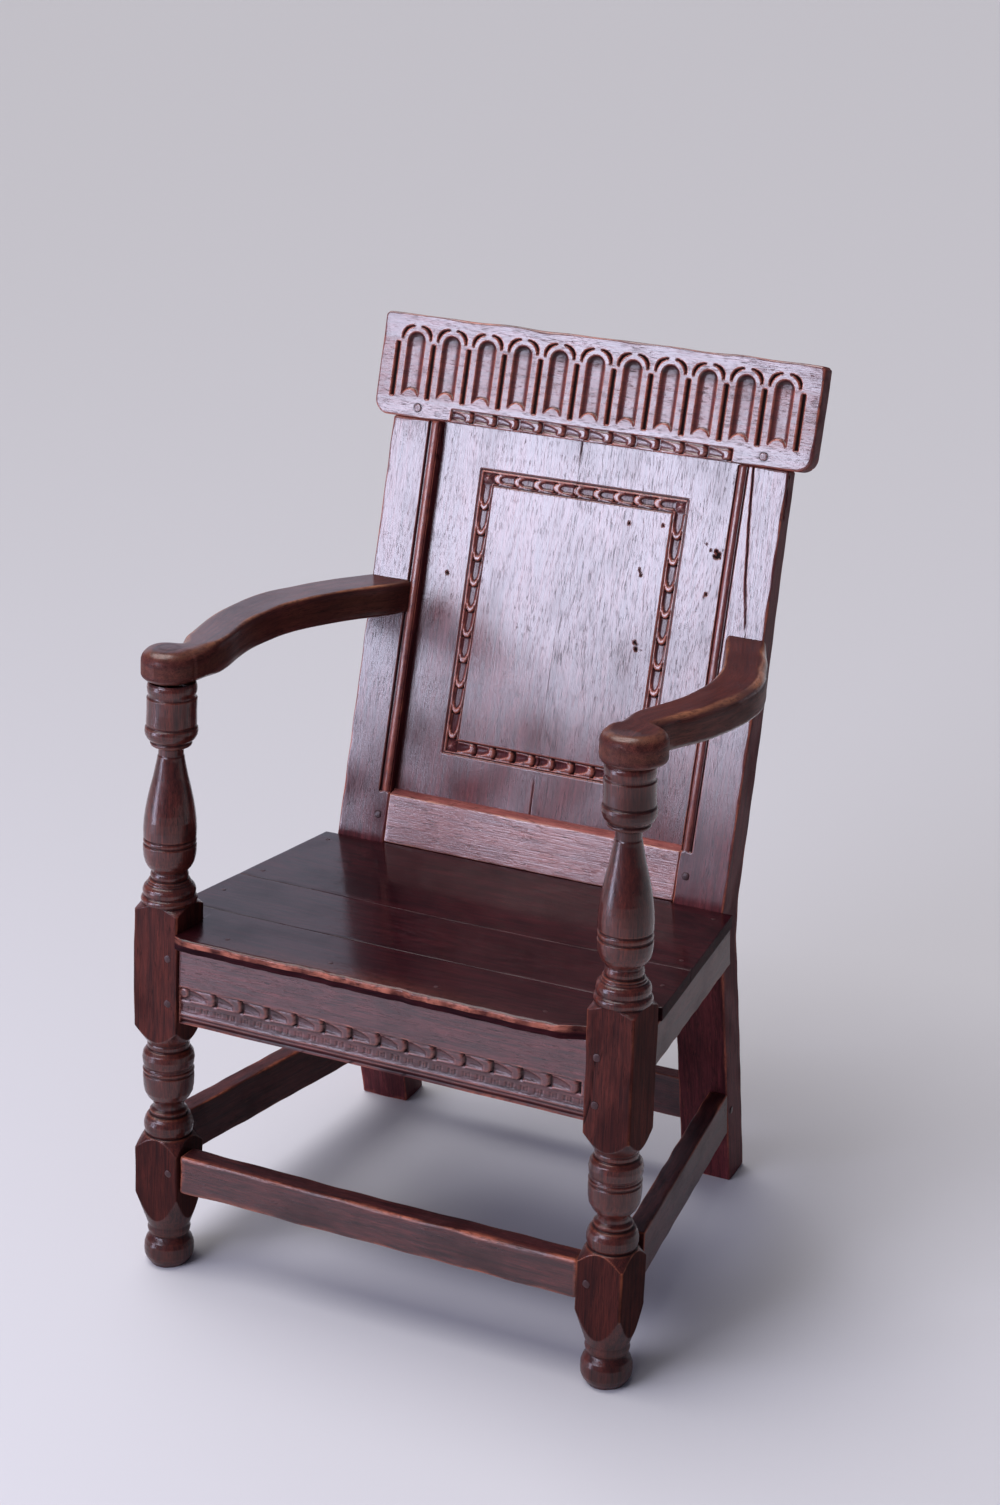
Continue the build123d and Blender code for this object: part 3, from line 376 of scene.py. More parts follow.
def cupRow(along, across, row):
    # A run of U-shaped cuts with a thin rim, closed at the far end of each
    count = (along - row["start"]) / row["pitch"]
    inRow = (count >= 0) & (count < row["count"])
    s = count - np.floor(count)
    v = np.abs(across) / row["half"]
    outer = unit(1 - unit((s - 0.55) / 0.43) ** 2.6) ** 0.4
    tip = 0.97 - row["lip"]
    inner = 0.80 * np.sqrt(unit(1 - unit((s - 0.38) / (tip - 0.38)) ** 2))
    wall = ease(0.0, 0.12, outer - v)
    hollow = ease(0.0, 0.18, inner - v)
    # each lobe swells up towards its closed end
    rim = 0.10 + 0.45 * (1 - s) ** 1.6
    level = np.maximum(rim, hollow * (0.95 - 0.45 * s))
    depth = row["deep"] * (level * wall + 1.05 * (1 - wall))
    return np.where(inRow & (v < 1.0), depth, 0.0)


def thumbRow(along, across, row):
    # A run of thumbs: each has a scoop cut from its near end, and swells to a round tip at the far end
    half, deep, pitch = row["half"], row["deep"], row["pitch"]
    count = (along - row["start"]) / pitch
    inRow = (count >= 0) & (count < row["count"])
    number = np.floor(count)
    along = (count - number) * pitch
    wander = 0.7 * np.sin(number * 2.3) + 0.5 * np.sin(number * 5.1 + 1)
    turn = 0.80 * half
    tip = 0.93 * pitch + wander - turn
    outside = np.hypot(np.maximum(0, along - tip), np.maximum(0, np.abs(across) - (half - turn))) - turn
    crown = 0.30 * (1 - ease(0.0, 2.6, -outside))
    reach = 0.68 * pitch
    share = np.clip(along / reach, 0, 1.5)
    upper = half * (0.84 - 0.85 * share ** 2.1)
    inside = np.minimum(np.minimum(upper - across, across + 0.90 * half), (reach - along) * 0.9)
    scoop = (1 - np.exp(-np.maximum(inside, 0) / 1.3)) * (0.98 - 0.45 * share)
    level = np.maximum(crown, scoop)
    depth = deep * (level + (1 - level) * ease(0, 0.8, outside))
    return np.where(inRow & (np.abs(across) < half), depth, 0.0)


crest = {
    "half": 279.5, "low": 507.0, "high": 630.0, "front": -2.0, "back": 24.0,
    "edge": 2.4, "step": (1.0, 1.0, 6.0), "seed": 3, "slot": "oak_frame", "corner": 18.0, "topCorner": 6.0,
    "flutes": 11, "flutePitch": 47.0, "fluteRadius": 11.2, "fluteDeep": 4.6, "fluteFoot": 535.0, "fluteHead": 608.5,
    "lobeDrop": 5.0, "lobeRadius": 10.6,                                    # the round lobe in the foot of a flute
    "slotHalf": 2.8, "slotFoot": 530.0, "slotHead": 595.0, "slotDeep": 4.2,
    "archRadius": 17.9, "archWide": 3.9, "archDeep": 4.2, "archFrom": 10.0, "archSpan": 76.0,
    "row": {"start": -177.0, "pitch": 30.0, "count": 12, "half": 6.9, "deep": 5.2}, "rowUp": 8.6,
    "lipHalf": 185.0, "lipHigh": 1.6, "lipDeep": 1.2,
    "pegX": 221.5, "pegUp": 519.0, "ringRadius": 5.3, "ringWide": 0.8, "ringDark": 0.75,
    "wearGain": 0.62, "cavityShade": 0.15, "topWorn": 0.9,
    "ridges": ((526.0, 534.0), (602.0, 596.0)), "ends": (250.0, 275.0),     # where the wax is duller
}
fluteHeadUp = crest["fluteHead"] - crest["fluteRadius"]      # where the round head of a flute begins


def fromFlute(x, up):
    # Across from the nearest flute, and out from the line of its middle
    most = crest["flutes"] // 2
    dx = x - np.clip(np.round(x / crest["flutePitch"]), -most, most) * crest["flutePitch"]
    return dx, np.hypot(dx, np.maximum(0.0, up - fluteHeadUp))


def crestCarving(x, up):
    dx, reach = fromFlute(x, up)
    trough = (1 - unit(reach / crest["fluteRadius"]) ** 5) ** 0.8 * crest["fluteDeep"]
    lobe = np.hypot(dx, up - (crest["fluteFoot"] - crest["lobeDrop"]))
    trough = trough * ease(0.0, 0.9, lobe - crest["lobeRadius"]) * (up > crest["fluteFoot"] - 2.5)
    most = crest["flutes"] / 2
    slotNumber = np.clip(np.round(x / crest["flutePitch"] - 0.5) + 0.5, -most, most)
    slotX = np.abs(x - slotNumber * crest["flutePitch"])
    slotUp = np.minimum(up - crest["slotFoot"], crest["slotHead"] - up)
    slot = ease(0.0, 1.1, crest["slotHalf"] - slotX) * ease(0.0, 1.2, slotUp) * crest["slotDeep"]
    # two crescents stand round the head of each flute
    angle = np.degrees(np.abs(np.arctan2(dx, up - fluteHeadUp)))
    swell = np.sin(math.pi * unit((angle - crest["archFrom"]) / crest["archSpan"]) ** 1.2) ** 0.6
    outward = np.hypot(dx, up - fluteHeadUp) - crest["archRadius"]
    crescent = ease(0.0, 0.7, np.minimum(outward, swell * crest["archWide"] - outward)) * crest["archDeep"]
    thumbs = thumbRow(x, up - crest["low"] - crest["rowUp"], crest["row"])
    lip = np.where((np.abs(x) < crest["lipHalf"]) & (up < crest["low"] + crest["lipHigh"]), crest["lipDeep"], 0.0)
    return np.maximum.reduce([trough, slot, crescent, thumbs, lip])


def crestShadeAndDarkening(x, up, depth):
    # Slots and crescents are painted nearly black, darker the deeper they go. A flute is dark only up in its head: a
    # painted shadow.
    fromPeg = np.hypot(np.abs(x) - crest["pegX"], up - crest["pegUp"])
    ring = crest["ringDark"] * bell(fromPeg - crest["ringRadius"], crest["ringWide"])
    inFlute = (fromFlute(x, up)[1] < crest["fluteRadius"] + 0.4) & (up > crest["fluteFoot"] - 2)
    head = 0.62 * ease(fluteHeadUp - 9, fluteHeadUp + 8, up) + 0.05
    outside = np.where(up < crest["low"] + 16, 0.012 * depth, 0.85 * ease(0.6, 2.2, depth))
    return np.maximum(np.where(inFlute, head * ease(1, 3, depth), outside), ring)


def crestPolish(x, up, depth):
    cloud = 0.5 + 0.5 * drift(28, x, up, reach=50.0)
    foot, head = crest["ridges"]
    ridges = ease(*foot, up) * ease(*head, up)
    ends = ease(*crest["ends"], np.abs(x))
    return 0.14 * ridges + 0.08 * cloud, np.clip(0.03 + 0.18 * ridges + 0.12 * ends * cloud, 0, 0.8)


def crestBend(points):
    # Rounded corners and a top edge that wanders a little
    x, up, behind = points.T
    midUp = (crest["low"] + crest["high"]) / 2
    halfUp = (crest["high"] - crest["low"]) / 2
    corner = np.where(up > midUp, crest["topCorner"], crest["corner"])
    px = np.maximum(np.abs(x) - (crest["half"] - corner), 0)
    pu = np.maximum(np.abs(up - midUp) - (halfUp - corner), 0)
    squeeze = np.where((px > 0) & (pu > 0), np.maximum(px, pu) / (np.hypot(px, pu) + 1e-9), 1.0)
    x = x - np.sign(x) * px * (1 - squeeze)
    up = up - np.sign(up - midUp) * pu * (1 - squeeze)
    up = up - crest["topWorn"] * ease(crest["high"] - 20, crest["high"], up) * (1 + drift(11, x, reach=70.0))
    return onBack(x, up, behind)


crossBoard("crestRail", dict(crest, grime=crestShadeAndDarkening, polish=crestPolish), crestBend, "back", "crest_rail",
           crestCarving)
print("crest rail carved")

panel = {
    "side": 199.0, "low": 46.0, "high": 516.0, "front": 12.0, "back": 21.0, "joint": -9.0,
    "edge": 0.06, "step": (1.15, 1.15, 4.0), "slot": "oak_panel",
    "borderSide": 133.0, "borderLow": 116.0, "borderHigh": 457.5, "borderWide": 17.0,
    "half": 6.6, "deep": 4.6, "acrossPitch": 24.7, "acrossLip": 0.28, "uprightPitch": 30.4, "uprightLip": 0.17,
    "wearGain": 0.55, "reach": 1.7, "edgeWear": 0.3, "cross": 0.9, "holeDeep": 2.6,
    "openHead": (462.0, 500.0), "openFoot": (112.0, 90.0), "openDeep": 0.9,     # where the joint has parted
    "dullFoot": (210.0, 60.0),
    "heart": (28.6, 343.0, 16.0, 62.0),                      # across, up, half width and half height
    "holes": ((179.0, 399.4, 3.6), (176.5, 404.0, 2.2), (85.7, 370.5, 1.3), (92.1, 284.3, 1.6), (95.2, 276.5, 2.2),
              (106.5, 423.9, 1.5), (88.0, 363.0, 1.2), (171.0, 352.0, 1.4), (64.0, 420.0, 1.2),
              (-160.0, 330.0, 1.4)),                         # across, up and size
    "dull": ((-165.0, 284.0, 26.0, 22.0, 0.6), (-112.0, 270.0, 40.0, 40.0, 0.35),
             (50.0, 148.0, 110.0, 36.0, 0.32)),              # across, up, reach across, reach up and strength
}


def panelRow(start, span, pitch, lip):
    # As many whole cuts as come nearest to the pitch
    count = round(span / pitch)
    return {"start": start, "pitch": span / count, "count": count, "lip": lip,
            "half": panel["half"], "deep": panel["deep"]}


acrossRow = panelRow(-panel["borderSide"] + panel["borderWide"], 2 * panel["borderSide"] - 2 * panel["borderWide"],
                     panel["acrossPitch"], panel["acrossLip"])
uprightRow = panelRow(-panel["borderHigh"] + panel["borderWide"],
                      panel["borderHigh"] - panel["borderLow"] - 2 * panel["borderWide"],
                      panel["uprightPitch"], panel["uprightLip"])
borderMiddle = (panel["borderLow"] + panel["borderHigh"]) / 2


def borderInset(x, up):
    # How far a point lies inside the outer edges of the border, across and up
    halfUp = (panel["borderHigh"] - panel["borderLow"]) / 2
    return panel["borderSide"] - np.abs(x), halfUp - np.abs(up - borderMiddle)


def panelCarving(x, up):
    wide, half, deep = panel["borderWide"], panel["half"], panel["deep"]
    outX, outUp = borderInset(x, up)
    inward = np.minimum(outX, outUp)
    inBand = (inward > 0) & (inward < wide)
    # a thin round fillet outside and inside the pods
    lines = 1.8 * bell(inward, 0.8) + 2.4 * bell(inward - wide + 0.4, 0.9)
    centre = wide / 2 + 0.3
    topRow = cupRow(-x, outUp - centre, acrossRow)
    bottomRow = thumbRow(x, centre - outUp, acrossRow)
    columns = cupRow(-up, outX - centre, uprightRow)
    rows = np.where(outUp < outX, np.where(up > borderMiddle, topRow, bottomRow), columns)
    # a stud with a cross cut in it stands in each corner
    a, b = np.abs(outX - centre), np.abs(outUp - centre)
    far = np.maximum(a, b)
    stud = unit(far / half) * deep * 0.8 + panel["cross"] * (1 - ease(0, 1.2, np.abs(a - b)))
    corner = (outX < wide) & (outUp < wide)
    depth = np.where(corner, np.where(far < half, stud, deep * 0.9), rows)
    depth = np.where(np.abs(inward - centre) > half, 0.0, depth)
    depth = np.where(inBand | (np.abs(inward) < 3), np.maximum(depth * inBand, lines), 0.0)
    # the joint has opened a little at the top and the foot
    parted = np.maximum(0.5 * ease(*panel["openHead"], up), ease(*panel["openFoot"], up) * 1.5)
    joint = panel["joint"] + 1.2 * drift(24, up, reach=160.0) * (up < panel["borderLow"])
    depth = np.maximum(depth, panel["openDeep"] * parted * ease(0.9, 0.2, np.abs(x - joint)))
    ragged = 1 + 0.55 * drift(36, x, up, reach=5.0)
    for holeX, holeUp, size in panel["holes"]:
        away = ragged * np.hypot(x - holeX, (up - holeUp) * 0.75)
        depth = np.maximum(depth, panel["holeDeep"] * ease(size, 0.5 * size, away))
    return depth


def panelShadeAndRings(x, up, depth):
    # Painted shade: dark lines along both edges of the border, and nearly black where the cuts are deepest, under the
    # lips. The scoops, the holes and the parted joint are darker too.
    inward = np.minimum(*borderInset(x, up))
    wide, deep = panel["borderWide"], panel["deep"]
    trench = bell(inward - wide + 0.4, 1.0) + bell(inward, 0.9)
    deepest = ease(0.92 * deep, deep, depth)
    scoop = ease(0.35, 0.6, depth / deep) * (inward > -0.5) * (inward < wide + 0.5)
    hole = (np.abs(inward - 8) > 11) & (depth > 0.4)
    # the growth rings show as faint arches about the heart of the board
    heartX, heartUp, halfX, halfUp = panel["heart"]
    heart = np.hypot((x - heartX) / halfX + 0.25 * drift(25, up, reach=90.0), (up - heartUp) / halfUp)
    heart = heart + 0.10 * drift(26, x, up, reach=60.0)
    arches = ease(0.10, 0.0, np.abs(np.mod(heart * 1.6, 1.0) - 0.5)) * ease(4.2, 2.0, heart) * (inward > 18)
    return unit(0.60 * trench + 0.01 * depth + 0.10 * scoop + 0.6 * deepest + 0.9 * hole + 0.16 * arches)


def panelPolish(x, up, depth):
    # The wax has gone from the foot of the panel and from a few patches
    cloud = 0.5 + 0.5 * drift(27, x, up, reach=70.0)
    matt = 0.72 * ease(*panel["dullFoot"], up + 0.18 * x) * (0.35 + 0.65 * cloud)
    for spotX, spotUp, reachX, reachUp, strength in panel["dull"]:
        matt = matt + strength * np.exp(-((x - spotX) / reachX) ** 2 - ((up - spotUp) / reachUp) ** 2)
    # the floor of each cut stays dull and its lobe is rubbed bright
    inward = np.minimum(*borderInset(x, up))
    border = (inward > -1.0) & (inward < panel["borderWide"] + 1.0)
    floor = border * ease(0.30, 0.50, depth / panel["deep"])
    lobe = border * ease(0.34, 0.10, depth / panel["deep"])
    return 0.05 * cloud + 0.55 * lobe, np.clip(np.clip(matt, 0, 0.92) * (1 - 0.6 * lobe) + 0.34 * floor, 0, 0.95)


def panelBoard(name, low, high, seed, node):
    def bend(points):
        x, up, behind = points.T
        return onBack(x, up, behind + 0.35 * drift(seed, x, up, reach=150.0))

    board(name, (low, panel["low"], panel["front"]), (high, panel["high"], panel["back"]),
          dict(panel, seed=seed, grime=panelShadeAndRings, polish=panelPolish), bend, 1, "back", node, panelCarving)


panelBoard("panelBoardLeft", -panel["side"], panel["joint"] - 0.01, 21, "panel_board_left")
panelBoard("panelBoardRight", panel["joint"] + 0.01, panel["side"], 22, "panel_board_right")
print("panel carved")

post = {
    "inner": 190.0, "outer": 253.0, "shoulder": 507.0, "topDepth": 24.0, "bendDepth": 54.0, "legDepth": 46.0,
    "edge": 2.4, "step": (2.0, 5.0, 6.0), "slot": "oak_frame", "wearGain": 0.45, "reach": 2.0,
    "beadIn": 1.8, "beadOut": 12.2, "quirk": 14.0, "quirkDeep": 3.2, "sinkDeep": 4.0, "mouldingFrom": 57.0,
    "crack": ((505.0, 430.0, 372.0, 310.0), (210.5, 216.0, 222.0, 232.0)),     # heights, and how far across
    "rise": 14.0,                                                              # from the bend to the foot of the face
    "bendBelow": 33.0, "bendAbove": 12.0,
    "crackWide": (310.0, 400.0), "crackFoot": (300.0, 330.0), "crackDeep": 2.4, "dullFoot": (190.0, 40.0),
    "beadLines": (0.3, 22.0, 0.55), "crackLines": (212.5, 236.0, 0.8),         # where the mesh is finer
    "leftBead": 0.60, "rightBead": 0.28, "flatMatt": 0.22,
}


def footPoint(offset):
    # Where a line parallel to the leg's front face meets the floor
    z = 0.0
    for _ in range(12):
        z = floorHeight(legFront(z) + offset)
    return legFront(z) + offset, z


def postSides():
    # The front and the back of a post, seen from the side
    frontTop, backTop = (onBack(np.array(0.0), np.array(post["shoulder"]), np.array(behind))[1:]
                         for behind in (0.0, post["topDepth"]))
    lowBend = chair["kinkZ"] - (post["bendDepth"] - post["legDepth"]) / legSlope
    front = np.array([footPoint(0.0), (kinkY, chair["kinkZ"]), frontTop])
    back = np.array([footPoint(post["legDepth"]), (legFront(lowBend) + post["legDepth"], lowBend),
                     (kinkY + post["bendDepth"], chair["kinkZ"] + post["bendAbove"]), backTop])
    return front, back


postFront, postBack = postSides()
postLength = np.linalg.norm(np.diff(postFront, axis=0), axis=1)
postKink = postLength[0]
postTotal = postLength.sum()


def onPost(x, t):
    # Out from the inner edge, and up the raked face
    return np.abs(x) - post["inner"], t - postKink - post["rise"]


def postCarving(hand):
    def carve(x, t):
        off, up = onPost(x, t)
        middle = (post["beadIn"] + post["beadOut"]) / 2
        halfBead = (post["beadOut"] - post["beadIn"]) / 2
        bead = np.sqrt(unit(1 - ((off - middle) / halfBead) ** 2))
        depth = np.where(off < post["beadIn"], post["sinkDeep"], 0.0)
        depth = np.where((off >= post["beadIn"]) & (off <= post["beadOut"]), post["sinkDeep"] * (1 - bead), depth)
        quirk = post["quirkDeep"] * bell(off - post["beadOut"] - 1.2, 1.1)
        depth = np.maximum(depth, np.where(off > post["beadOut"], quirk, 0))
        depth = depth * ease(-1.2, 1.2, up - post["mouldingFrom"])
        if hand > 0:
            # an old split runs down from the crest
            heights, places = (values[::-1] for values in post["crack"])
            line = np.interp(up, heights, places) + 0.8 * drift(33, up, reach=60.0)
            wide = 0.9 * ease(*post["crackWide"], up) + 0.35
            split = post["crackDeep"] * ease(wide, 0.2 * wide, np.abs(x - line)) * ease(*post["crackFoot"], up)
            depth = np.maximum(depth, split)
        return depth
    return carve


def postDarkening(x, t, depth):
    # darker with depth in the grooves and the split, and only a little on the bead
    off = onPost(x, t)[0]
    onBead = (off > post["beadIn"]) & (off < post["beadOut"])
    return np.where(onBead, 0.03 * depth ** 1.5, 0.20 * depth)


def postPolish(hand):
    def polish(x, t, depth):
        off, up = onPost(x, t)
        run = ease(-1, 2, up - post["mouldingFrom"])
        bead = bell(off - (post["beadIn"] + post["beadOut"]) / 2, 3.2) * run
        moulded = ease(post["quirk"] + 1.5, post["quirk"], off) * run
        cloud = 0.5 + 0.5 * drift(29 + hand, x, t, reach=80.0)
        low = ease(*post["dullFoot"], up) * (0.35 + 0.65 * cloud)
        # the bead takes the worn colour, partly as wear and partly as a painted highlight, more on the left post than
        # on the right
        worn = post["rightBead"] if hand > 0 else post["leftBead"]
        return worn * bead, np.clip(post["flatMatt"] * moulded + 0.7 * low + ease(10, -10, up), 0, 0.95)
    return polish


def backPost(name, hand, seed, node):
    thick = post["legDepth"]
    stopsFront = [0, postKink, postTotal]
    stopsBack = [0, postKink - post["bendBelow"], postKink + post["bendAbove"], postTotal]

    def along(line, stops, t):
        return np.stack([np.interp(t, stops, line[:, n]) for n in range(2)], -1)

    def bend(points):
        x, t, depth = points.T
        front, back = along(postFront, stopsFront, t), along(postBack, stopsBack, t)
        # carving keeps its own depth where the post is thin
        depth = depth[:, None]
        width = np.linalg.norm(back - front, axis=1)[:, None]
        blend = np.where(depth / thick < 0.2, depth / width, depth / thick)
        place = front * (1 - blend) + back * blend
        return np.stack([x + 0.35 * drift(seed, t, reach=240.0), *place.T], -1)

    low, high = sorted((hand * post["inner"], hand * post["outer"]))
    inner = post["inner"] + np.arange(*post["beadLines"])
    across = np.concatenate([inner, np.arange(*post["crackLines"])]) if hand > 0 else -inner
    start = postKink + post["rise"] + post["mouldingFrom"]
    upward = (stopsBack[1], postKink, stopsBack[2], *(start + step for step in (-1.3, -0.6, 0, 0.6, 1.3)))
    settings = dict(post, seed=seed, grime=postDarkening, polish=postPolish(hand))
    board(name, (low, 0.0, 0.0), (high, postTotal, thick), settings, bend, 1, "back", node,
          postCarving(hand), (across, upward, ()))


backPost("backPostLeft", -1, 31, "back_post_left")
backPost("backPostRight", 1, 32, "back_post_right")
print("back posts cut")

lowerRail = {
    "half": 190.0, "low": 0.0, "high": 55.0, "front": 0.0, "back": 27.0, "foot": 425.3,
    "bevel": 7.0, "bevelDepth": 12.0, "edge": 1.6, "step": (5.0, 3.0, 3.0), "seed": 41, "slot": "oak_frame",
}


def lowerRailBend(points):
    # The foot is cut level with the seat, and the top edge is bevelled
    x, up, behind = points.T
    bottom = (lowerRail["foot"] - chair["backZ"] + behind * rakeSin) / rakeCos
    rise = lowerRail["bevel"] * unit(behind / lowerRail["bevelDepth"])
    up = bottom + (lowerRail["high"] + rise - bottom) * (up / lowerRail["high"])
    return onBack(x, up, behind)


crossBoard("lowerBackRail", lowerRail, lowerRailBend, "rail", "lower_back_rail")

frontRail = {
    "half": 251.5, "low": 316.0, "high": 409.0, "front": -25.0, "back": 1.0,
    "edge": 1.4, "step": (1.5, 1.3, 6.0), "seed": 51, "slot": "oak_frame",
    "row": {"start": -238.0, "pitch": 34.5, "count": 14, "half": 8.2, "deep": 5.2},
    "rowUp": 352.0, "stepUp": 8.4, "knobX": -245.5, "knobRadius": (4.6, 6.2), "knobDeep": 4.6,
    "punchDeep": 0.9, "punchUp": 335.4, "punchPitch": 17.25,
    "beadUp": 327.6, "grooveUp": 324.2, "chamfer": 8.0, "chamferDeep": 4.2,
    "wearGain": 0.42, "darkPerDepth": 0.07, "reach": 2.4,
}


def frontRailCarving(x, up):
    row, rowUp = frontRail["row"], frontRail["rowUp"]
    inRow = np.abs(up - rowUp) < row["half"]
    knob = np.hypot(x - frontRail["knobX"], up - rowUp - 1.5)
    start = np.where((x < row["start"]) & inRow, frontRail["knobDeep"] * ease(*frontRail["knobRadius"], knob), 0)
    # the face ends at a ragged step over the row, and the band below it is sunk
    step = rowUp + frontRail["stepUp"] + 0.9 * drift(57, x, reach=40.0) + 0.5 * drift(58, x, reach=13.0)
    low = rowUp - row["half"]
    sunk = 1.5 * ease(step + 0.5, step - 0.6, up) + 1.0 * ease(low + 0.4, low - 0.5, up)
    # pairs of punch marks in the band, with a short one between
    mark = np.abs(np.mod(x + 3.0, frontRail["punchPitch"]) - 8.6)
    height = np.abs(up - frontRail["punchUp"])
    punch = np.maximum(ease(0, 0.8, 1.6 - np.abs(mark - 3.6)) * ease(0, 0.9, 3.8 - height),
                       ease(0, 0.6, 1.2 - mark) * ease(0, 0.6, 2.8 - height))
    bead = -1.6 * bell(up - frontRail["beadUp"], 1.6)
    groove = 1.4 * bell(up - frontRail["grooveUp"], 0.9)
    chamfer = frontRail["chamferDeep"] * (1 - ease(0.0, frontRail["chamfer"], up - frontRail["low"]))
    flat = sunk + bead + groove + frontRail["punchDeep"] * punch + chamfer
    thumbs = np.maximum(thumbRow(x, up - rowUp, row), 0.25 * sunk)
    return np.where(inRow & (x > row["start"]), thumbs, np.maximum(start, flat))


def facingFront(points):
    # Across, up and depth on a piece square to the legs
    x, up, depth = points.T
    return np.stack([x, depth, up], -1)


def frontRailBend(points):
    x, up, depth = points.T
    return np.stack([x, depth, up + 0.5 * drift(52, x, reach=120.0) * (up < 330)], -1)


crossBoard("seatRailFront", frontRail, frontRailBend, "carved", "front_seat_rail", frontRailCarving)

frontStretcher = {
    "half": 251.5, "low": 101.5, "high": 149.0, "front": -25.0, "back": 5.0,
    "edge": 5.0, "step": (4.0, 4.0, 4.0), "seed": 53, "slot": "oak_frame",
    "wornHalf": 150.0, "wornTop": 2.2, "wornFront": 1.4,
}


def frontStretcherBend(points):
    # Feet have worn the top and front of the bar away in the middle
    x, up, depth = points.T
    worn = bell(x, frontStretcher["wornHalf"]) * (1 + 0.4 * drift(54, x, reach=130.0)) * ease(125.0, 149.0, up)
    depth = depth + frontStretcher["wornFront"] * worn * ease(-5.0, -25.0, depth)
    return np.stack([x, depth, up - frontStretcher["wornTop"] * worn], -1)


crossBoard("frontStretcher", frontStretcher, frontStretcherBend, "frame", "front_stretcher")

backRail = {
    "half": 190.0, "low": 350.0, "high": 409.0, "front": 363.0, "back": 389.0,
    "edge": 2.6, "step": (6.0, 5.0, 5.0), "seed": 55, "slot": "oak_frame",
}
backStretcher = dict(backRail, low=118.0, high=170.0, thick=24.0, seed=56)
barMiddle = legFront((backStretcher["low"] + backStretcher["high"]) / 2) + post["legDepth"] / 2
backStretcher["front"] = barMiddle - backStretcher["thick"] / 2
backStretcher["back"] = barMiddle + backStretcher["thick"] / 2
crossBoard("seatRailBack", backRail, facingFront, "frame", "back_seat_rail")
crossBoard("backStretcher", backStretcher, facingFront, "frame", "back_stretcher")

sideBars = {
    "edge": 2.6, "step": (6.0, 5.0, 5.0), "slot": "oak_frame", "faceMatt": 0.4, "sideMatt": 0.7,
    "start": 28.5, "length": 400.0, "railLow": 358.0, "railHigh": 409.0, "railThick": 30.0,
    "seatFront": 307.0, "seatBack": 266.5, "inset": 2.5,
    "barLow": 116.0, "barHigh": 172.0, "barThick": 24.0, "barFront": 306.0, "barBack": 252.0,
}
seatSlope = (sideBars["seatFront"] - sideBars["seatBack"]) / kinkY
barSlope = (sideBars["barFront"] - sideBars["barBack"]) / (legFront(sideBars["barLow"]) - sideBars["start"])


def seatSide(y):
    # The outer edge of the seat, and the rail stands a little inside it
    return sideBars["seatFront"] - seatSlope * y


def sideBar(name, hand, part, faceAt, seed, node):
    # Along the chair, up, and in from the outside face, cut to the slope of the back leg
    low, high, thick = (sideBars[part + key] for key in ("Low", "High", "Thick"))

    def bend(points):
        share, up, depth = points.T
        y = sideBars["start"] + share / sideBars["length"] * (legFront(up) - sideBars["start"])
        worn = 0.8 * drift(seed, y, reach=160.0) * ease(high - 12, high, up)
        return np.stack([hand * (faceAt(y) - depth), y, up - np.maximum(worn, 0)], -1)

    board(name, (0.0, low, 0.0), (sideBars["length"], high, thick), dict(sideBars, seed=seed), bend, 0, "frame", node)


for hand, side in ((-1, "Left"), (1, "Right")):
    sideBar("seatRail" + side, hand, "rail", lambda y: seatSide(y) - sideBars["inset"], 60 + hand,
            side.lower() + "_seat_rail")
    sideBar("stretcher" + side, hand, "bar", lambda y: sideBars["barFront"] - barSlope * (y - sideBars["start"]),
            64 + hand, side.lower() + "_stretcher")
print("rails and stretchers cut")

seat = {
    "top": 425.0, "under": 409.0, "front": -40.0, "jointFront": 59.0, "jointBack": 168.0, "back": 343.15,
    "gap": 0.15, "tongue": 189.8, "tongueBack": 376.0, "notch": 251.3, "notchBack": 28.7,
    "edge": 1.2, "plainEdge": 0.7, "step": (4.0, 4.0, 4.0), "slot": "oak_seat", "nose": 2.6,
    "noseReach": 4.5, "chipReach": 16.0, "rubbedEnds": (258.0, 245.0), "rubbedPatch": (-20.0, 150.0, 22.0),
    "hollow": 1.6, "hollowY": 150.0, "hollowHalf": (190.0, 130.0), "edgeWear": 0.03, "sideMatt": 1.0,
    "wornCorners": ((213.0, 254.3, 15.0), (238.0, 255.3, 6.5)),     # right and left: from, to and how far back
}


def seatTop(x, y, up):
    # Sitting has dished the top a little
    halfX, halfY = seat["hollowHalf"]
    dish = np.exp(-(x / halfX) ** 2 - ((y - seat["hollowY"]) / halfY) ** 2)
    return up - seat["hollow"] * dish * ease(seat["under"], seat["top"], up)


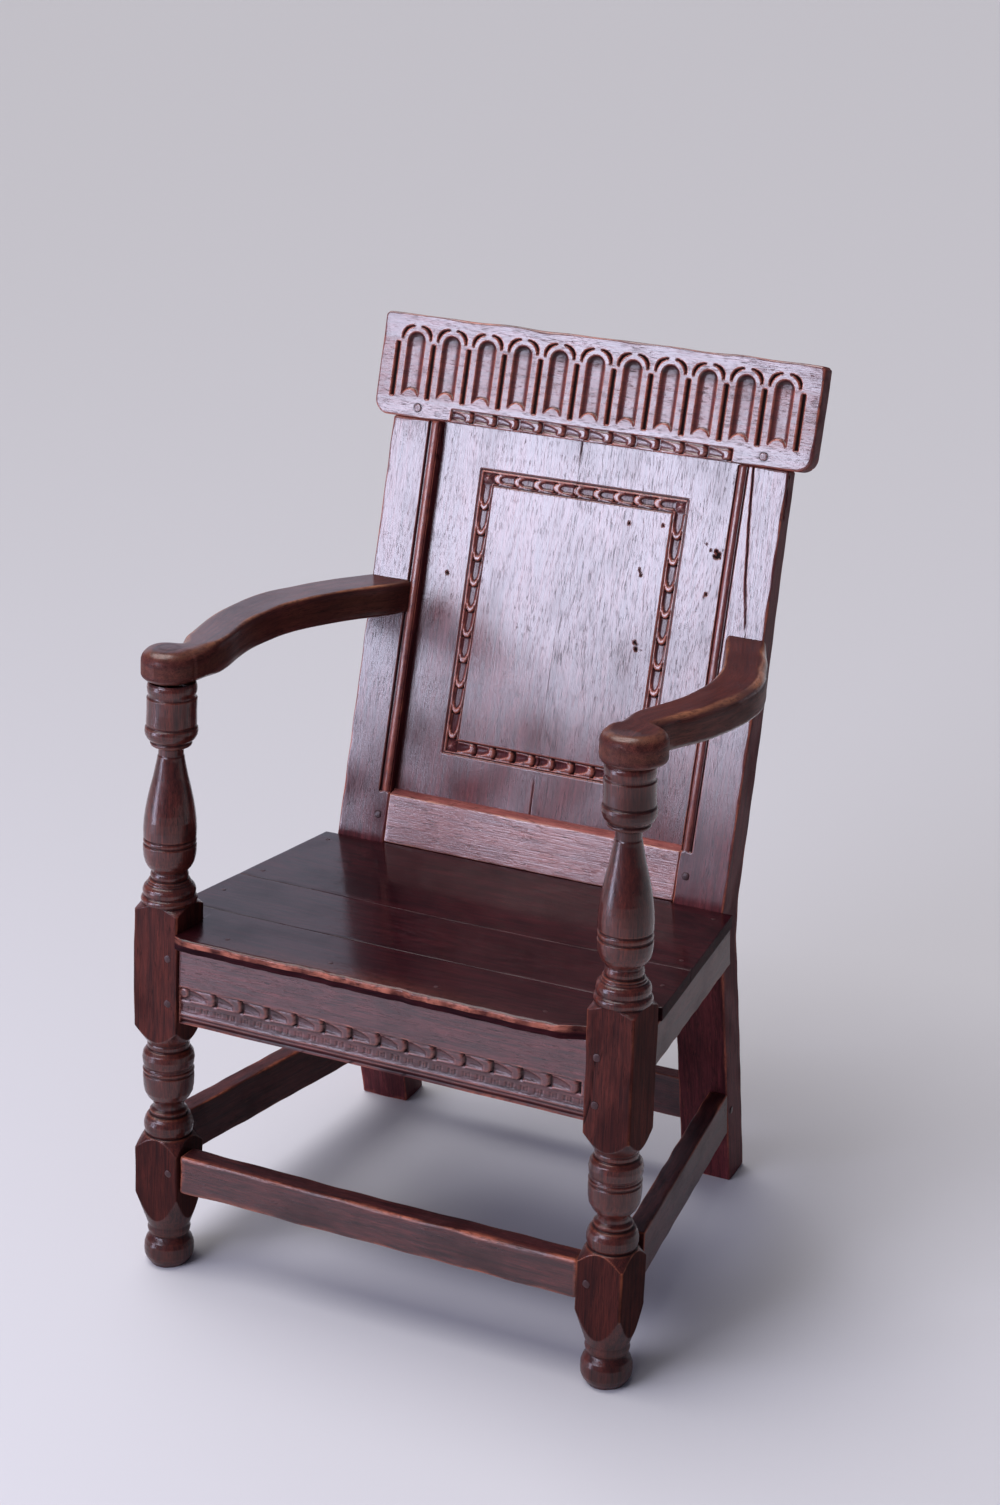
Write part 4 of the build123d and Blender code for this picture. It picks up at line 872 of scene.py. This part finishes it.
def seatBoard(name, halfFront, frontLine, backLine, seed, node, across=(), nosed=False):
    # Across, from the front to the back in hundredths, and down from the top
    thick, front = seat["top"] - seat["under"], seat["front"]
    settings = dict(seat, seed=seed) if nosed else dict(seat, seed=seed, edge=seat["plainEdge"])

    def rubs(x, t, down):
        # knees and skirts have rubbed the front edge and a patch behind it
        ragged = np.clip(0.72 + 0.55 * drift(seed + 5, x, reach=34.0) + 0.3 * drift(seed + 6, x, reach=9.0), 0.15, 1)
        edge = 0.95 * bell(t, 1.1) * (down < 6) * ragged * ease(*seat["rubbedEnds"], np.abs(x))
        patchX, patchWide, patchDeep = seat["rubbedPatch"]
        patch = 0.20 * np.exp(-((x - patchX) / patchWide) ** 2 - (t / patchDeep) ** 2)
        return edge + patch * (down < 2)

    def bend(points):
        x, t, down = points.T
        y = frontLine(x) + t * (backLine(x) - frontLine(x)) / 100.0
        wide = seatSide(y) - seatSide(frontLine(np.zeros(1)))
        x = np.where(np.abs(x) > halfFront - 60, x + np.sign(x) * wide * (np.abs(x) - halfFront + 60) / 60.0, x)
        up = seat["top"] - down
        if nosed:
            fall = unit((front + seat["noseReach"] - y) / seat["noseReach"])
            chip = 1.2 * drift(seed + 2, x, reach=60.0) + 0.8 * drift(seed + 3, x, reach=19.0)
            up = up - fall ** 2 * np.where(up > seat["top"] - thick / 2, seat["nose"], -0.5 * seat["nose"])
            y = y + (chip + 1.6) * ease(front + seat["chipReach"], front, y)
        return np.stack([x, y, seatTop(x, y, up)], -1)

    lines = (across, ())
    if nosed:
        settings["rubs"] = rubs
        lines = (across, tuple(np.arange(0.5, 12, 0.8)))
    board(name, (-halfFront, 0.0, 0.0), (halfFront, 100.0, thick), settings, bend, 0, "seat", node, None, (*lines, ()))


def frontEdge(x):
    # The corners are worn back, the right one more than the left
    (rightFrom, rightTo, rightBack), (leftFrom, leftTo, leftBack) = seat["wornCorners"]
    right = rightBack * ease(rightFrom, rightTo, x)
    left = leftBack * ease(leftFrom, leftTo, -x)
    return np.where(np.abs(x) > seat["notch"], seat["notchBack"], seat["front"] + right + left)


def backEdge(x):
    return np.where(np.abs(x) > seat["tongue"], seat["back"], seat["tongueBack"])


def steady(value):
    return lambda x: np.full_like(np.asarray(x, float), value)


def stepLines(at):
    # Both sides of a square step in an edge
    return at - 0.01, at + 0.02, -at + 0.01, -at - 0.02


seatBoard("seatBoardFront", seatSide(seat["notchBack"]), frontEdge, steady(seat["jointFront"] - seat["gap"]), 71,
          "seat_board_front", stepLines(seat["notch"]), True)
seatBoard("seatBoardMiddle", seatSide(seat["jointFront"]), steady(seat["jointFront"] + seat["gap"]),
          steady(seat["jointBack"] - seat["gap"]), 72, "seat_board_middle")
seatBoard("seatBoardBack", seatSide(seat["jointBack"]), steady(seat["jointBack"] + seat["gap"]), backEdge, 73,
          "seat_board_back", stepLines(seat["tongue"]))
print("seat boards laid")

# The outer and inner edges of an arm: how far back, and how far across
arm = {
    "padX": 277.0, "slot": "oak_frame", "edge": 5.0, "padEdge": 13.0, "tenon": 12.0, "thick": 38.0, "padDome": 2.2,
    "padToBow": (22.0, 62.0), "domeEnd": (16.0, -12.0), "outside": (40.0, 90.0), "rubbedFrom": (25.0, 75.0),
    "cutFrom": 300.0,                                       # where the arm begins to lean with the back
    "left": {"padRadius": 31.8, "under": 710.5, "fall": 0.0365, "bevel": 2.0, "rubbed": 0.0, "tenonMark": 0.4,
             "outer": ((-5.0, 282.0), (30.0, 284.0), (64.0, 294.5), (108.0, 306.0), (160.0, 316.0), (205.0, 320.5),
                       (245.0, 321.0), (281.0, 317.0), (326.0, 305.0), (373.0, 286.0), (414.0, 262.0),
                       (440.0, 246.0)),
             "inner": ((-5.0, 243.0), (17.0, 243.0), (42.0, 244.5), (77.0, 249.5), (124.0, 260.0), (160.0, 266.0),
                       (200.0, 268.0), (235.0, 267.0), (264.0, 262.0), (313.0, 248.0), (358.0, 228.5),
                       (400.0, 207.5), (440.0, 196.0))},
    "right": {"padRadius": 36.0, "under": 715.5, "fall": 0.0520, "bevel": 5.0, "rubbed": 0.8, "tenonMark": 0.1,
              "outer": ((-5.0, 288.0), (30.0, 289.0), (61.0, 295.0), (81.0, 302.0), (107.0, 310.0), (140.0, 317.0),
                        (169.0, 321.2), (205.0, 322.7), (250.0, 319.6), (285.0, 311.0), (317.0, 300.0),
                        (360.0, 283.0), (410.0, 262.0), (440.0, 249.0)),
              "inner": ((-5.0, 246.0), (30.0, 247.5), (69.0, 251.5), (107.0, 261.0), (157.0, 268.5), (200.0, 270.5),
                        (227.0, 268.5), (287.0, 256.5), (335.0, 240.0), (380.0, 223.5), (406.0, 214.0),
                        (440.0, 203.0))},
}


def smoothLine(stops, y):
    # A fair curve through a few stops
    t, v = np.array(stops).T
    slope = np.gradient(v, t)
    n = np.clip(np.searchsorted(t, y) - 1, 0, len(t) - 2)
    h = t[n + 1] - t[n]
    s = unit((y - t[n]) / h)
    rise = s * s * (3 - 2 * s)
    return ((1 + 2 * s) * (1 - s) ** 2 * v[n] + s * (1 - s) ** 2 * h * slope[n]
            + rise * v[n + 1] + s * s * (s - 1) * h * slope[n + 1])


def armOutline(ys, side):
    px, r = arm["padX"], side["padRadius"]
    circle = np.sqrt(np.clip(r * r - ys ** 2, 0.01, None))
    outer, inner = (smoothLine(side[key], np.maximum(ys, -5)) for key in ("outer", "inner"))
    outer = np.where(ys < r, np.maximum(np.where(ys < 0, 0, outer), px + circle), outer)
    inner = np.where(ys < r, np.minimum(np.where(ys < 0, 999, inner), px - circle), inner)
    return outer, inner


def armPiece(name, hand, seed, node):
    side = arm["right" if hand > 0 else "left"]
    r = side["padRadius"]
    top = side["under"] + arm["thick"]
    endY = (chair["backY"] + (top - chair["backZ"]) * rakeSin / rakeCos) / (1 + side["fall"] * rakeSin / rakeCos)
    front, fineFront = (-r * np.cos(np.linspace(0, math.pi / 2, count)) for count in (26, 120))
    ys = np.concatenate([front, np.arange(1.2, r + 6, 1.2), np.arange(r + 7, endY, 3.4), [endY]])
    outer, inner = armOutline(ys, side)
    middle, half = (outer + inner) / 2, (outer - inner) / 2
    across = np.sin(np.linspace(-math.pi / 2, math.pi / 2, 31))
    gx = middle[:, None] + half[:, None] * across[None, :]
    gy = np.repeat(ys[:, None], len(across), axis=1)
    # how far each point of the top is from the rim
    fineY = np.concatenate([fineFront, np.arange(0.3, endY + 30, 0.6)])
    rim = np.concatenate([np.stack([line, fineY], -1) for line in armOutline(np.minimum(fineY, 439.0), side)])
    away = np.empty_like(gx)
    for row in range(len(ys)):
        near = rim[np.abs(rim[:, 1] - ys[row]) < 14]
        away[row] = np.hypot(gx[row][:, None] - near[:, 0], gy[row][:, None] - near[:, 1]).min(axis=1)
    away[:, [0, -1]] = 0.0
    away[0] = 0.0
    soft = arm["padEdge"] + (arm["edge"] - arm["padEdge"]) * ease(*arm["padToBow"], gy)
    onOutside = ease(-0.2, 0.6, across)[None, :] * ease(*arm["outside"], gy) * ease(endY - 10, endY - 60, gy)
    soft = (soft + side["bevel"] * onOutside) * (1 + 0.25 * drift(seed, gy, gx, reach=80.0))
    into = unit(1 - away / soft)
    bevel = soft * (1 - np.sqrt(unit(1 - into ** 2)))
    dome = arm["padDome"] * ease(0.0, 1.0, np.hypot(gx - arm["padX"], gy) / r) * ease(*arm["domeEnd"], gy)
    hollows = 0.35 * drift(seed + 3, gy, reach=120.0) + 0.2 * drift(seed + 4, gx, gy, reach=40.0)
    lift = arm["thick"] / 2
    topZ = lift - (bevel + dome) + hollows * (1 - into)
    underZ = -lift + 0.7 * bevel
    worn = unit(np.sin(np.pi * unit(into * 1.15)) * 1.1)
    worn = worn * (0.40 + 0.60 * ease(*arm["rubbedFrom"], gy)) * (1 + side["rubbed"] * onOutside)

    def wall(column, fromZ, toZ):
        steps = np.linspace(0, 1, 6)[1:-1]
        x = np.repeat(gx[:, column][:, None], len(steps), axis=1)
        return x, fromZ[:, column][:, None] + (toZ - fromZ)[:, column][:, None] * steps, np.full_like(x, 0.12)

    # round the section: over the top, down the inside, back underneath, up the outside
    parts = ((gx[:, ::-1], topZ[:, ::-1], worn[:, ::-1]), wall(0, topZ, underZ),
             (gx, underZ, worn * 0.5), wall(-1, underZ, topZ))
    x, z, wear = (np.concatenate(values, 1) for values in zip(*parts))
    y = np.repeat(ys[:, None], x.shape[1], axis=1)
    wear = wear * np.clip(0.5 + 0.6 * drift(seed, y, reach=90.0), 0.1, 1)
    # the leg's tenon shows in the top of the pad
    fromPin = np.hypot(x - chair["legX"] + 2, y)
    pin = bell(fromPin - arm["tenon"], 1.1) + 0.35 * (fromPin < arm["tenon"])
    dirt = side["tenonMark"] * (z > lift - 4) * pin
    matt = 0.8 * (np.abs(z) < lift - 6)      # the sides are dull
    grain = np.stack([y, x - middle[:, None], z], -1).reshape(-1, 3) + seed * 77.0
    fall = side["fall"] * np.maximum(y, -10.0)
    y = y + ease(arm["cutFrom"], endY, y) * (z - lift) * rakeSin / rakeCos
    points = np.stack([x * hand, y, z + side["under"] + lift - fall], -1).reshape(-1, 3)
    makeMesh(name, points, ringFaces(*x.shape), wear, dirt, matt, grain, "arm", node)


armPiece("armLeft", -1, 81, "arm_left")
armPiece("armRight", 1, 82, "arm_right")
print("arms bowed")

leg = {
    "block": 28.5, "step": 0.7, "slot": "oak_turned", "corner": 1.8, "top": 711.0,
    "footTop": 70.0, "blocks": ((60.0, 164.0), (280.0, 451.0)), "cutEnds": ((150.0, 164.0), (438.0, 451.0)),
    "grimy": (215.0, 150.0), "grime": 0.26,                 # the lowest block and foot are painted darker
    "bend": 6.0, "bendFrom": 290.0, "bendOver": 410.0, "twist": {"left": 1.0, "right": 4.5},
    "split": ((312.0, 330.0, 345.0, 368.0, 392.0), (-27.0, -22.5, -20.0, -18.6, -16.0)),     # heights, how far across
    "splitEnds": ((310.0, 316.0), (394.0, 386.0)), "splitWide": 0.9, "splitDeep": 1.2,
    # Height and radius all the way up. A radius of 40.4 clears the square blocks.
    "profile": (
        (-6, 19.5), (1, 23.8), (5, 26.7), (10, 28.7), (16, 29.2), (23, 28.8), (29, 26.8), (33.5, 23.6), (35.5, 22.4),
        (37.5, 22.4), (38.5, 24.4), (43, 25.3), (47, 24.6), (48, 24.5), (94, 40.4), (147, 40.4), (164, 28.2),
        (164, 25.5), (168, 27.5), (173, 28.6), (178, 28.6), (184, 27.0), (188, 24.6), (189, 20.8), (191.5, 21.6),
        (194, 21.9), (195.5, 19.5), (197, 17.8), (201, 17.6), (205, 19.2), (211, 24.3), (218, 27.8), (226, 29.0),
        (236, 29.5), (240, 29.2), (240.8, 27.9), (242.6, 27.9), (243.2, 29.4), (246, 29.6), (246.6, 28.1),
        (248.4, 28.1), (249.5, 27.4), (253, 29.2), (260, 30.0), (267, 28.7), (271, 25.6), (272, 23.0),
        (274, 24.2), (277.5, 24.2), (279.6, 23.2), (280.6, 24.6), (304, 40.4), (443.5, 40.4), (451, 29.5),
        (452, 31.2), (455, 32.0), (457.5, 31.2), (459, 29.6), (459.8, 28.4), (460.6, 29.0), (463, 29.9), (466, 30.0),
        (470, 28.8), (472.5, 26.6), (473.2, 24.9), (475.3, 24.7), (475.9, 23.3), (478, 23.1), (478.7, 20.4),
        (479.6, 20.6), (481.2, 21.3), (483.6, 21.6), (486.5, 20.9), (488, 20.1), (489, 20.6), (491.5, 22.9),
        (495, 25.5), (499.5, 27.7), (506, 29.3), (513, 30.0), (519.8, 30.0), (520.6, 28.2), (521.8, 28.2),
        (522.5, 29.4), (524.5, 29.9), (526.4, 29.4), (527, 28.1), (528.1, 28.1), (528.8, 29.7), (539, 29.9),
        (550, 29.2), (560, 28.0), (573, 25.8), (586, 23.0), (600, 19.6), (612, 17.2), (620, 15.6), (624.4, 15.0),
        (625.2, 14.3), (634.6, 14.3), (635.6, 20.0), (637.5, 22.8), (639.5, 23.6), (641.3, 22.8), (642, 21.8),
        (643, 24.2), (646, 27.3), (650, 29.2), (654, 29.8), (658.3, 29.2), (659.4, 27.2), (661, 27.2), (661.8, 28.2),
        (677, 27.8), (692.6, 28.1), (693.4, 26.5), (696.2, 26.4), (697.2, 26.8), (700, 27.6), (704, 27.9),
        (708, 27.3), (711, 25.8)),
    # The right leg was turned a little longer from the same pattern
    "stretch": ((449, 457, 466, 483.6, 489, 520.5, 528, 624.6, 635, 641.6, 660, 693, 697, 711),
                (449, 459, 468.5, 486.9, 494.2, 522.5, 532.5, 632.8, 645.3, 651.5, 671.6, 699, 702.5, 716)),
}


def turnedLine(z):
    stops = np.array(leg["profile"], float)
    stops[:, 0] += np.arange(len(stops)) * 1e-4
    return np.interp(z, stops[:, 0], stops[:, 1])


def blurred(values, width):
    kernel = np.exp(-np.linspace(-2, 2, 2 * width + 1) ** 2)
    return np.convolve(np.pad(values, width, mode="edge"), kernel / kernel.sum(), mode="valid")


def frontLeg(name, hand, seed, node):
    zs = np.arange(-5.0, leg["top"] + 0.01, leg["step"])
    line = blurred(turnedLine(zs), 1)
    quarter = np.concatenate([np.linspace(low, high, count)[:-1] for low, high, count in
                              ((-45, -36, 9), (-36, 36, 23), (36, 45, 9))])
    angles = np.radians(np.concatenate([quarter + 90 * n for n in range(4)]))
    local = np.radians(np.concatenate([quarter] * 4))
    z, ang = np.meshgrid(zs, angles, indexing="ij")
    turnedR = line[:, None] * np.ones_like(ang)
    # the blocks are square, with their arrises worn round
    corner = leg["corner"] * (1 + 0.5 * drift(seed, zs, reach=50.0))
    squareRadius = leg["block"] / np.cos(local)
    fromArris = np.abs(local) - math.pi / 4
    cut = (leg["block"] * math.sqrt(2) - corner[:, None] * 0.6) / np.maximum(np.cos(fromArris), 0.2)
    square = np.minimum(squareRadius[None, :], cut)
    inBlock = within(z, leg["blocks"])
    radius = np.where(inBlock | (z < leg["footTop"]), np.minimum(square, turnedR), turnedR)
    # what the lathe has cut is worn on its ridges and has painted shade in its grooves
    convex = line - blurred(line, 5)
    lathed = turnedR <= square + 0.3
    dirt = unit(-convex * 0.70)[:, None] * lathed
    dirt = unit(dirt + leg["grime"] * ease(*leg["grimy"], z))
    arris = bell(fromArris, 0.035)[None, :] * (turnedR > square - 0.5) * inBlock
    cutLine = bell(turnedR - squareRadius[None, :], 0.6) * inBlock * within(z, leg["cutEnds"])
    ragged = unit(0.45 + 0.75 * drift(seed + 4, z, np.sin(ang) * 30, reach=55.0))
    wear = np.clip(convex * 0.45, 0, 0.8)[:, None] * lathed
    wear = unit(wear + 0.95 * arris * ragged + 0.55 * cutLine * ragged)
    wear = wear * np.clip(0.65 + 0.5 * drift(seed + 1, z, np.cos(ang) * 20, reach=60.0), 0.1, 1)
    flat = inBlock * (turnedR > square + 0.3)
    matt = flat * (0.70 + 0.25 * (np.cos(ang) > 0.7))
    radius = radius + 0.22 * drift(seed + 2, z, np.cos(ang) * 40, np.sin(ang) * 40, reach=120.0)
    if hand > 0:
        # a split runs down through both pegs to the corner
        foot, head = leg["splitEnds"]
        split = bell(radius * np.cos(ang) - np.interp(z, *leg["split"]), leg["splitWide"]) * (np.sin(ang) < -0.6)
        split = split * ease(*foot, z) * ease(*head, z)
        radius = radius - leg["splitDeep"] * split
        dirt = np.maximum(dirt, split)
        wear = wear * (1 - split)
    turned = ang - math.radians(leg["twist"]["right" if hand > 0 else "left"])
    bend = leg["bend"] * unit((z - leg["bendFrom"]) / leg["bendOver"]) ** 1.6
    x = hand * (chair["legX"] - bend) + radius * np.cos(turned)
    y = radius * np.sin(turned)
    z = np.maximum(z, floorHeight(y))                 # the foot is worn level with the floor
    if hand > 0:
        z = np.where(z > leg["stretch"][0][0], np.interp(z, *leg["stretch"]), z)
    points = np.stack([x, y, z], -1).reshape(-1, 3)
    rows, count = z.shape
    # a ring of faces reaches in under the foot
    centre = np.array([[hand * chair["legX"], 0.0, floorHeight(0.0)]])
    rim = np.arange(count)
    after = (rim + 1) % count
    under = np.stack([rim, len(points) + rim, len(points) + after, after], -1)
    faces = np.concatenate([ringFaces(rows, count), under])
    points = np.concatenate([points, points[:count] * 0.5 + centre * 0.5])
    grain = np.stack([points[:, 2], points[:, 0] - hand * chair["legX"], points[:, 1]], -1) + seed * 53.0
    wear = np.concatenate([wear.ravel(), np.zeros(count)])
    # the flat faces of the blocks and the underside of the foot are painted darker
    dirt = np.concatenate([(dirt + 0.18 * flat).ravel(), np.full(count, 0.5)])
    matt = np.concatenate([matt.ravel(), np.ones(count)])
    makeMesh(name, points, faces, wear, dirt, matt, grain, "turned", node)


frontLeg("frontLegLeft", -1, 91, "front_leg_left")
frontLeg("frontLegRight", 1, 92, "front_leg_right")
print("front legs turned")

pegs = {
    "radius": 4.8, "dome": 0.9, "crestDome": 0.25, "pinRadius": 3.0, "pinDome": 0.35, "slot": "oak_pegs", "sides": 20,
    # How far out, how high, how dark and how worn each ring of a peg is, in shares
    "out": (1.0, 1.0, 0.96, 0.84, 0.6, 0.3, 0.0), "rise": (-9.0, -0.2, 0.25, 0.55, 0.85, 0.97, 1.0),
    "dirt": (1.0, 1.0, 0.75, 0.1, 0.0, 0.0, 0.0), "wear": (0.0, 0.0, 0.1, 0.35, 0.15, 0.1, 0.1),
}
pinSide = seatSide(0.0) - 17.5
pegPlaces = {
    "crest_rail_pegs": [(way, hand * crest["pegX"], crest["pegUp"], behind)
                        for way, behind in (("back", -2.6), ("behind", 24.0)) for hand in (-1, 1)],
    "lower_back_rail_pegs": [("back", hand * 202.0, 28.0, 0.0) for hand in (-1, 1)],
    "front_rail_pegs": [("front", x, y, z) for x, y in ((-263.5, -28.6), (263.5, -27.6)) for z in (338.0, 393.0)],
    "front_stretcher_pegs": [("front", -263.5, -28.6, 125.3), ("front", 263.5, -27.6, 125.3)],
    "back_rail_pegs": [("rear", hand * 202.0, 397.4, 379.5) for hand in (-1, 1)],
    "back_stretcher_pegs": [("rear", hand * 202.0, 449.6, 144.0) for hand in (-1, 1)],
    "seat_pins": [("top", hand * x, -12.0, 425.0) for x in (65.0, 195.0) for hand in (-1, 1)]
                 + [("top", hand * (pinSide - seatSlope * y), y, 425.0)
                    for y in (45.0, 115.0, 190.0, 320.0) for hand in (-1, 1)],
}
for side, frontX, backX in (("left", -308.5, -253.0), ("right", 307.4, 253.0)):
    for bar, backY, z in (("rail", 362.5, 383.5), ("stretcher", 415.6, 144.0)):
        pegPlaces[side + "_" + bar + "_pegs"] = [("side", frontX, 16.5, z), ("side", backX, backY, z)]


def pegPlace(kind, a, b, c):
    # Where a peg shows, which way it points and one direction across it
    sideways = np.array([1.0, 0.0, 0.0])
    if kind in ("back", "behind"):
        way = 1.0 if kind == "behind" else -1.0
        return onBack(a, b, c), way * np.array([0.0, rakeCos, -rakeSin]), sideways
    place = np.array([a, b, c])
    if kind == "side":
        return place, math.copysign(1.0, a) * sideways, np.array([0.0, 1.0, 0.0])
    if kind == "top":
        place[2] = seatTop(*place)
        return place, np.array([0.0, 0.0, 1.0]), sideways
    return place, np.array([0.0, -1.0 if kind == "front" else 1.0, 0.0]), sideways


def pegSet(node, seed):
    # Riven pegs, not quite round, with a low worn dome
    rng = np.random.RandomState(seed)
    pin, onCrest = node == "seat_pins", "crest" in node
    radius = pegs["pinRadius"] if pin else pegs["radius"]
    dome = pegs["pinDome" if pin else "crestDome" if onCrest else "dome"]
    out, rise = np.array(pegs["out"])[:, None], np.array(pegs["rise"])[:, None]
    sides = pegs["sides"]
    angles = np.arange(sides) * 2 * math.pi / sides
    points, faces, grain = [], [], []
    for kind, a, b, c in pegPlaces[node]:
        place, way, across = pegPlace(kind, a, b, c)
        facets = 1 + 0.05 * np.cos(angles * 4 + rng.uniform(0, 6)) + 0.03 * np.cos(angles * 2 + rng.uniform(0, 6))
        tilt = rng.uniform(-0.06, 0.06, 2)
        reach = radius * out * facets
        u, v = reach * np.cos(angles), reach * np.sin(angles)
        height = np.where(rise > 0, rise * dome + tilt[0] * u + tilt[1] * v, rise)
        body = place + u[..., None] * across + v[..., None] * np.cross(way, across) + height[..., None] * way
        faces.append(ringFaces(len(out), sides, len(points) * sides * len(out)))
        points.append(body.reshape(-1, 3))
        grain.append(np.stack([height, u, v], -1).reshape(-1, 3) + rng.uniform(0, 900))
    first, *others = node.split("_")
    wear, dirt = (np.tile(np.repeat(pegs[key], sides), len(points)) for key in ("wear", "dirt"))
    makeMesh(first + "".join(word.title() for word in others), np.concatenate(points), np.concatenate(faces),
             wear, dirt, np.zeros(len(wear)), np.concatenate(grain), "back" if onCrest else "peg", node)


for number, node in enumerate(sorted(pegPlaces)):
    pegSet(node, 200 + number)
print("pegs driven")

view = {"lens": 73.57, "place": (1422.0, -2742.0, 1751.0), "yaw": 25.301, "pitch": 19.118, "roll": 1.974}


def aimCamera():
    data = bpy.data.cameras.new("viewCamera")
    data.lens = view["lens"]
    data.sensor_width = 36.0
    data.clip_end = 100.0
    camera = addObject("viewCamera", data)
    yaw, pitch, roll = (math.radians(view[key]) for key in ("yaw", "pitch", "roll"))
    forward = np.array([-math.sin(yaw) * math.cos(pitch), math.cos(yaw) * math.cos(pitch), -math.sin(pitch)])
    side = np.cross(forward, [0, 0, 1])
    side /= np.linalg.norm(side)
    over = np.cross(side, forward)
    right = math.cos(roll) * side + math.sin(roll) * over
    up = -math.sin(roll) * side + math.cos(roll) * over
    axes = np.stack([leant(right), leant(up), -leant(forward), stand(np.array(view["place"]))], axis=1)
    camera.matrix_world = Matrix([*axes.tolist(), [0, 0, 0, 1]])
    bpy.context.scene.camera = camera


aimCamera()

studio = {
    "floor": (0.62, 0.61, 0.625), "floorHalf": 30.0,
    "room": (0.085, 0.085, 0.12), "wall": (0.60, 0.60, 0.76), "wallAt": (-0.62, 0.76, 0.16),
    "skylight": {"place": (-0.35, 0.05, 1.0), "aim": (0.0, 0.0, 0.0), "power": 2.5, "angle": 50.0,
                 "colour": (1.0, 0.98, 0.99)},
    "window": {"place": (-1.50, -3.20, 2.08), "aim": (0.0, 0.15, 0.72), "size": (1.7, 1.3), "power": 76.0,
               "colour": (0.78, 0.79, 1.0)},
    "door": {"place": (-2.35, -2.30, 0.75), "aim": (0.0, 0.0, 0.6), "size": (0.8, 1.3), "power": 34.0,
             "colour": (0.74, 0.75, 1.0)},
}


def lamp(name):
    settings = studio[name]
    data = bpy.data.lights.new(name, "AREA" if "size" in settings else "SUN")
    if "size" in settings:
        data.shape = "RECTANGLE"
        data.size, data.size_y = settings["size"]
    else:
        data.angle = math.radians(settings["angle"])
    data.energy = settings["power"]
    data.color = settings["colour"]
    added = addObject(name, data)
    added.location = settings["place"]
    added.rotation_euler = (Vector(settings["aim"]) - added.location).to_track_quat("-Z", "Y").to_euler()


for name in ("window", "door", "skylight"):
    lamp(name)


def layFloor():
    mesh = bpy.data.meshes.new("floor")
    half = studio["floorHalf"]
    mesh.from_pydata([(-half, -half, 0), (half, -half, 0), (half, half, 0), (-half, half, 0)], [], [(0, 1, 2, 3)])
    floor = addObject("floor", mesh)
    material = bpy.data.materials.new("floorPaint")
    material.use_nodes = True
    shader = material.node_tree.nodes["Principled BSDF"]
    shader.inputs["Base Color"].default_value = (*studio["floor"], 1)
    shader.inputs["Roughness"].default_value = 0.9
    mesh.materials.append(material)


layFloor()


def fillWorld():
    # A dim room with a pale wall behind and to the left
    world = bpy.data.worlds.new("studioWorld")
    bpy.context.scene.world = world
    world.use_nodes = True
    tree = world.node_tree
    tree.nodes.clear()
    towards = newNode(tree, "ShaderNodeVectorMath", operation="DOT_PRODUCT")
    feed(tree, towards.inputs[0], newNode(tree, "ShaderNodeTexCoord").outputs["Generated"])
    towards.inputs[1].default_value = Vector(studio["wallAt"]).normalized()
    patch = ramp(tree, towards.outputs["Value"], 0.84, 0.96)
    soft = newNode(tree, "ShaderNodeBackground")
    feed(tree, soft.inputs["Color"], blendColour(tree, patch, studio["room"], studio["wall"]))
    feed(tree, newNode(tree, "ShaderNodeOutputWorld").inputs[0], soft.outputs[0])


fillWorld()
bpy.context.scene.view_settings.view_transform = "Standard"
print("camera and light set")
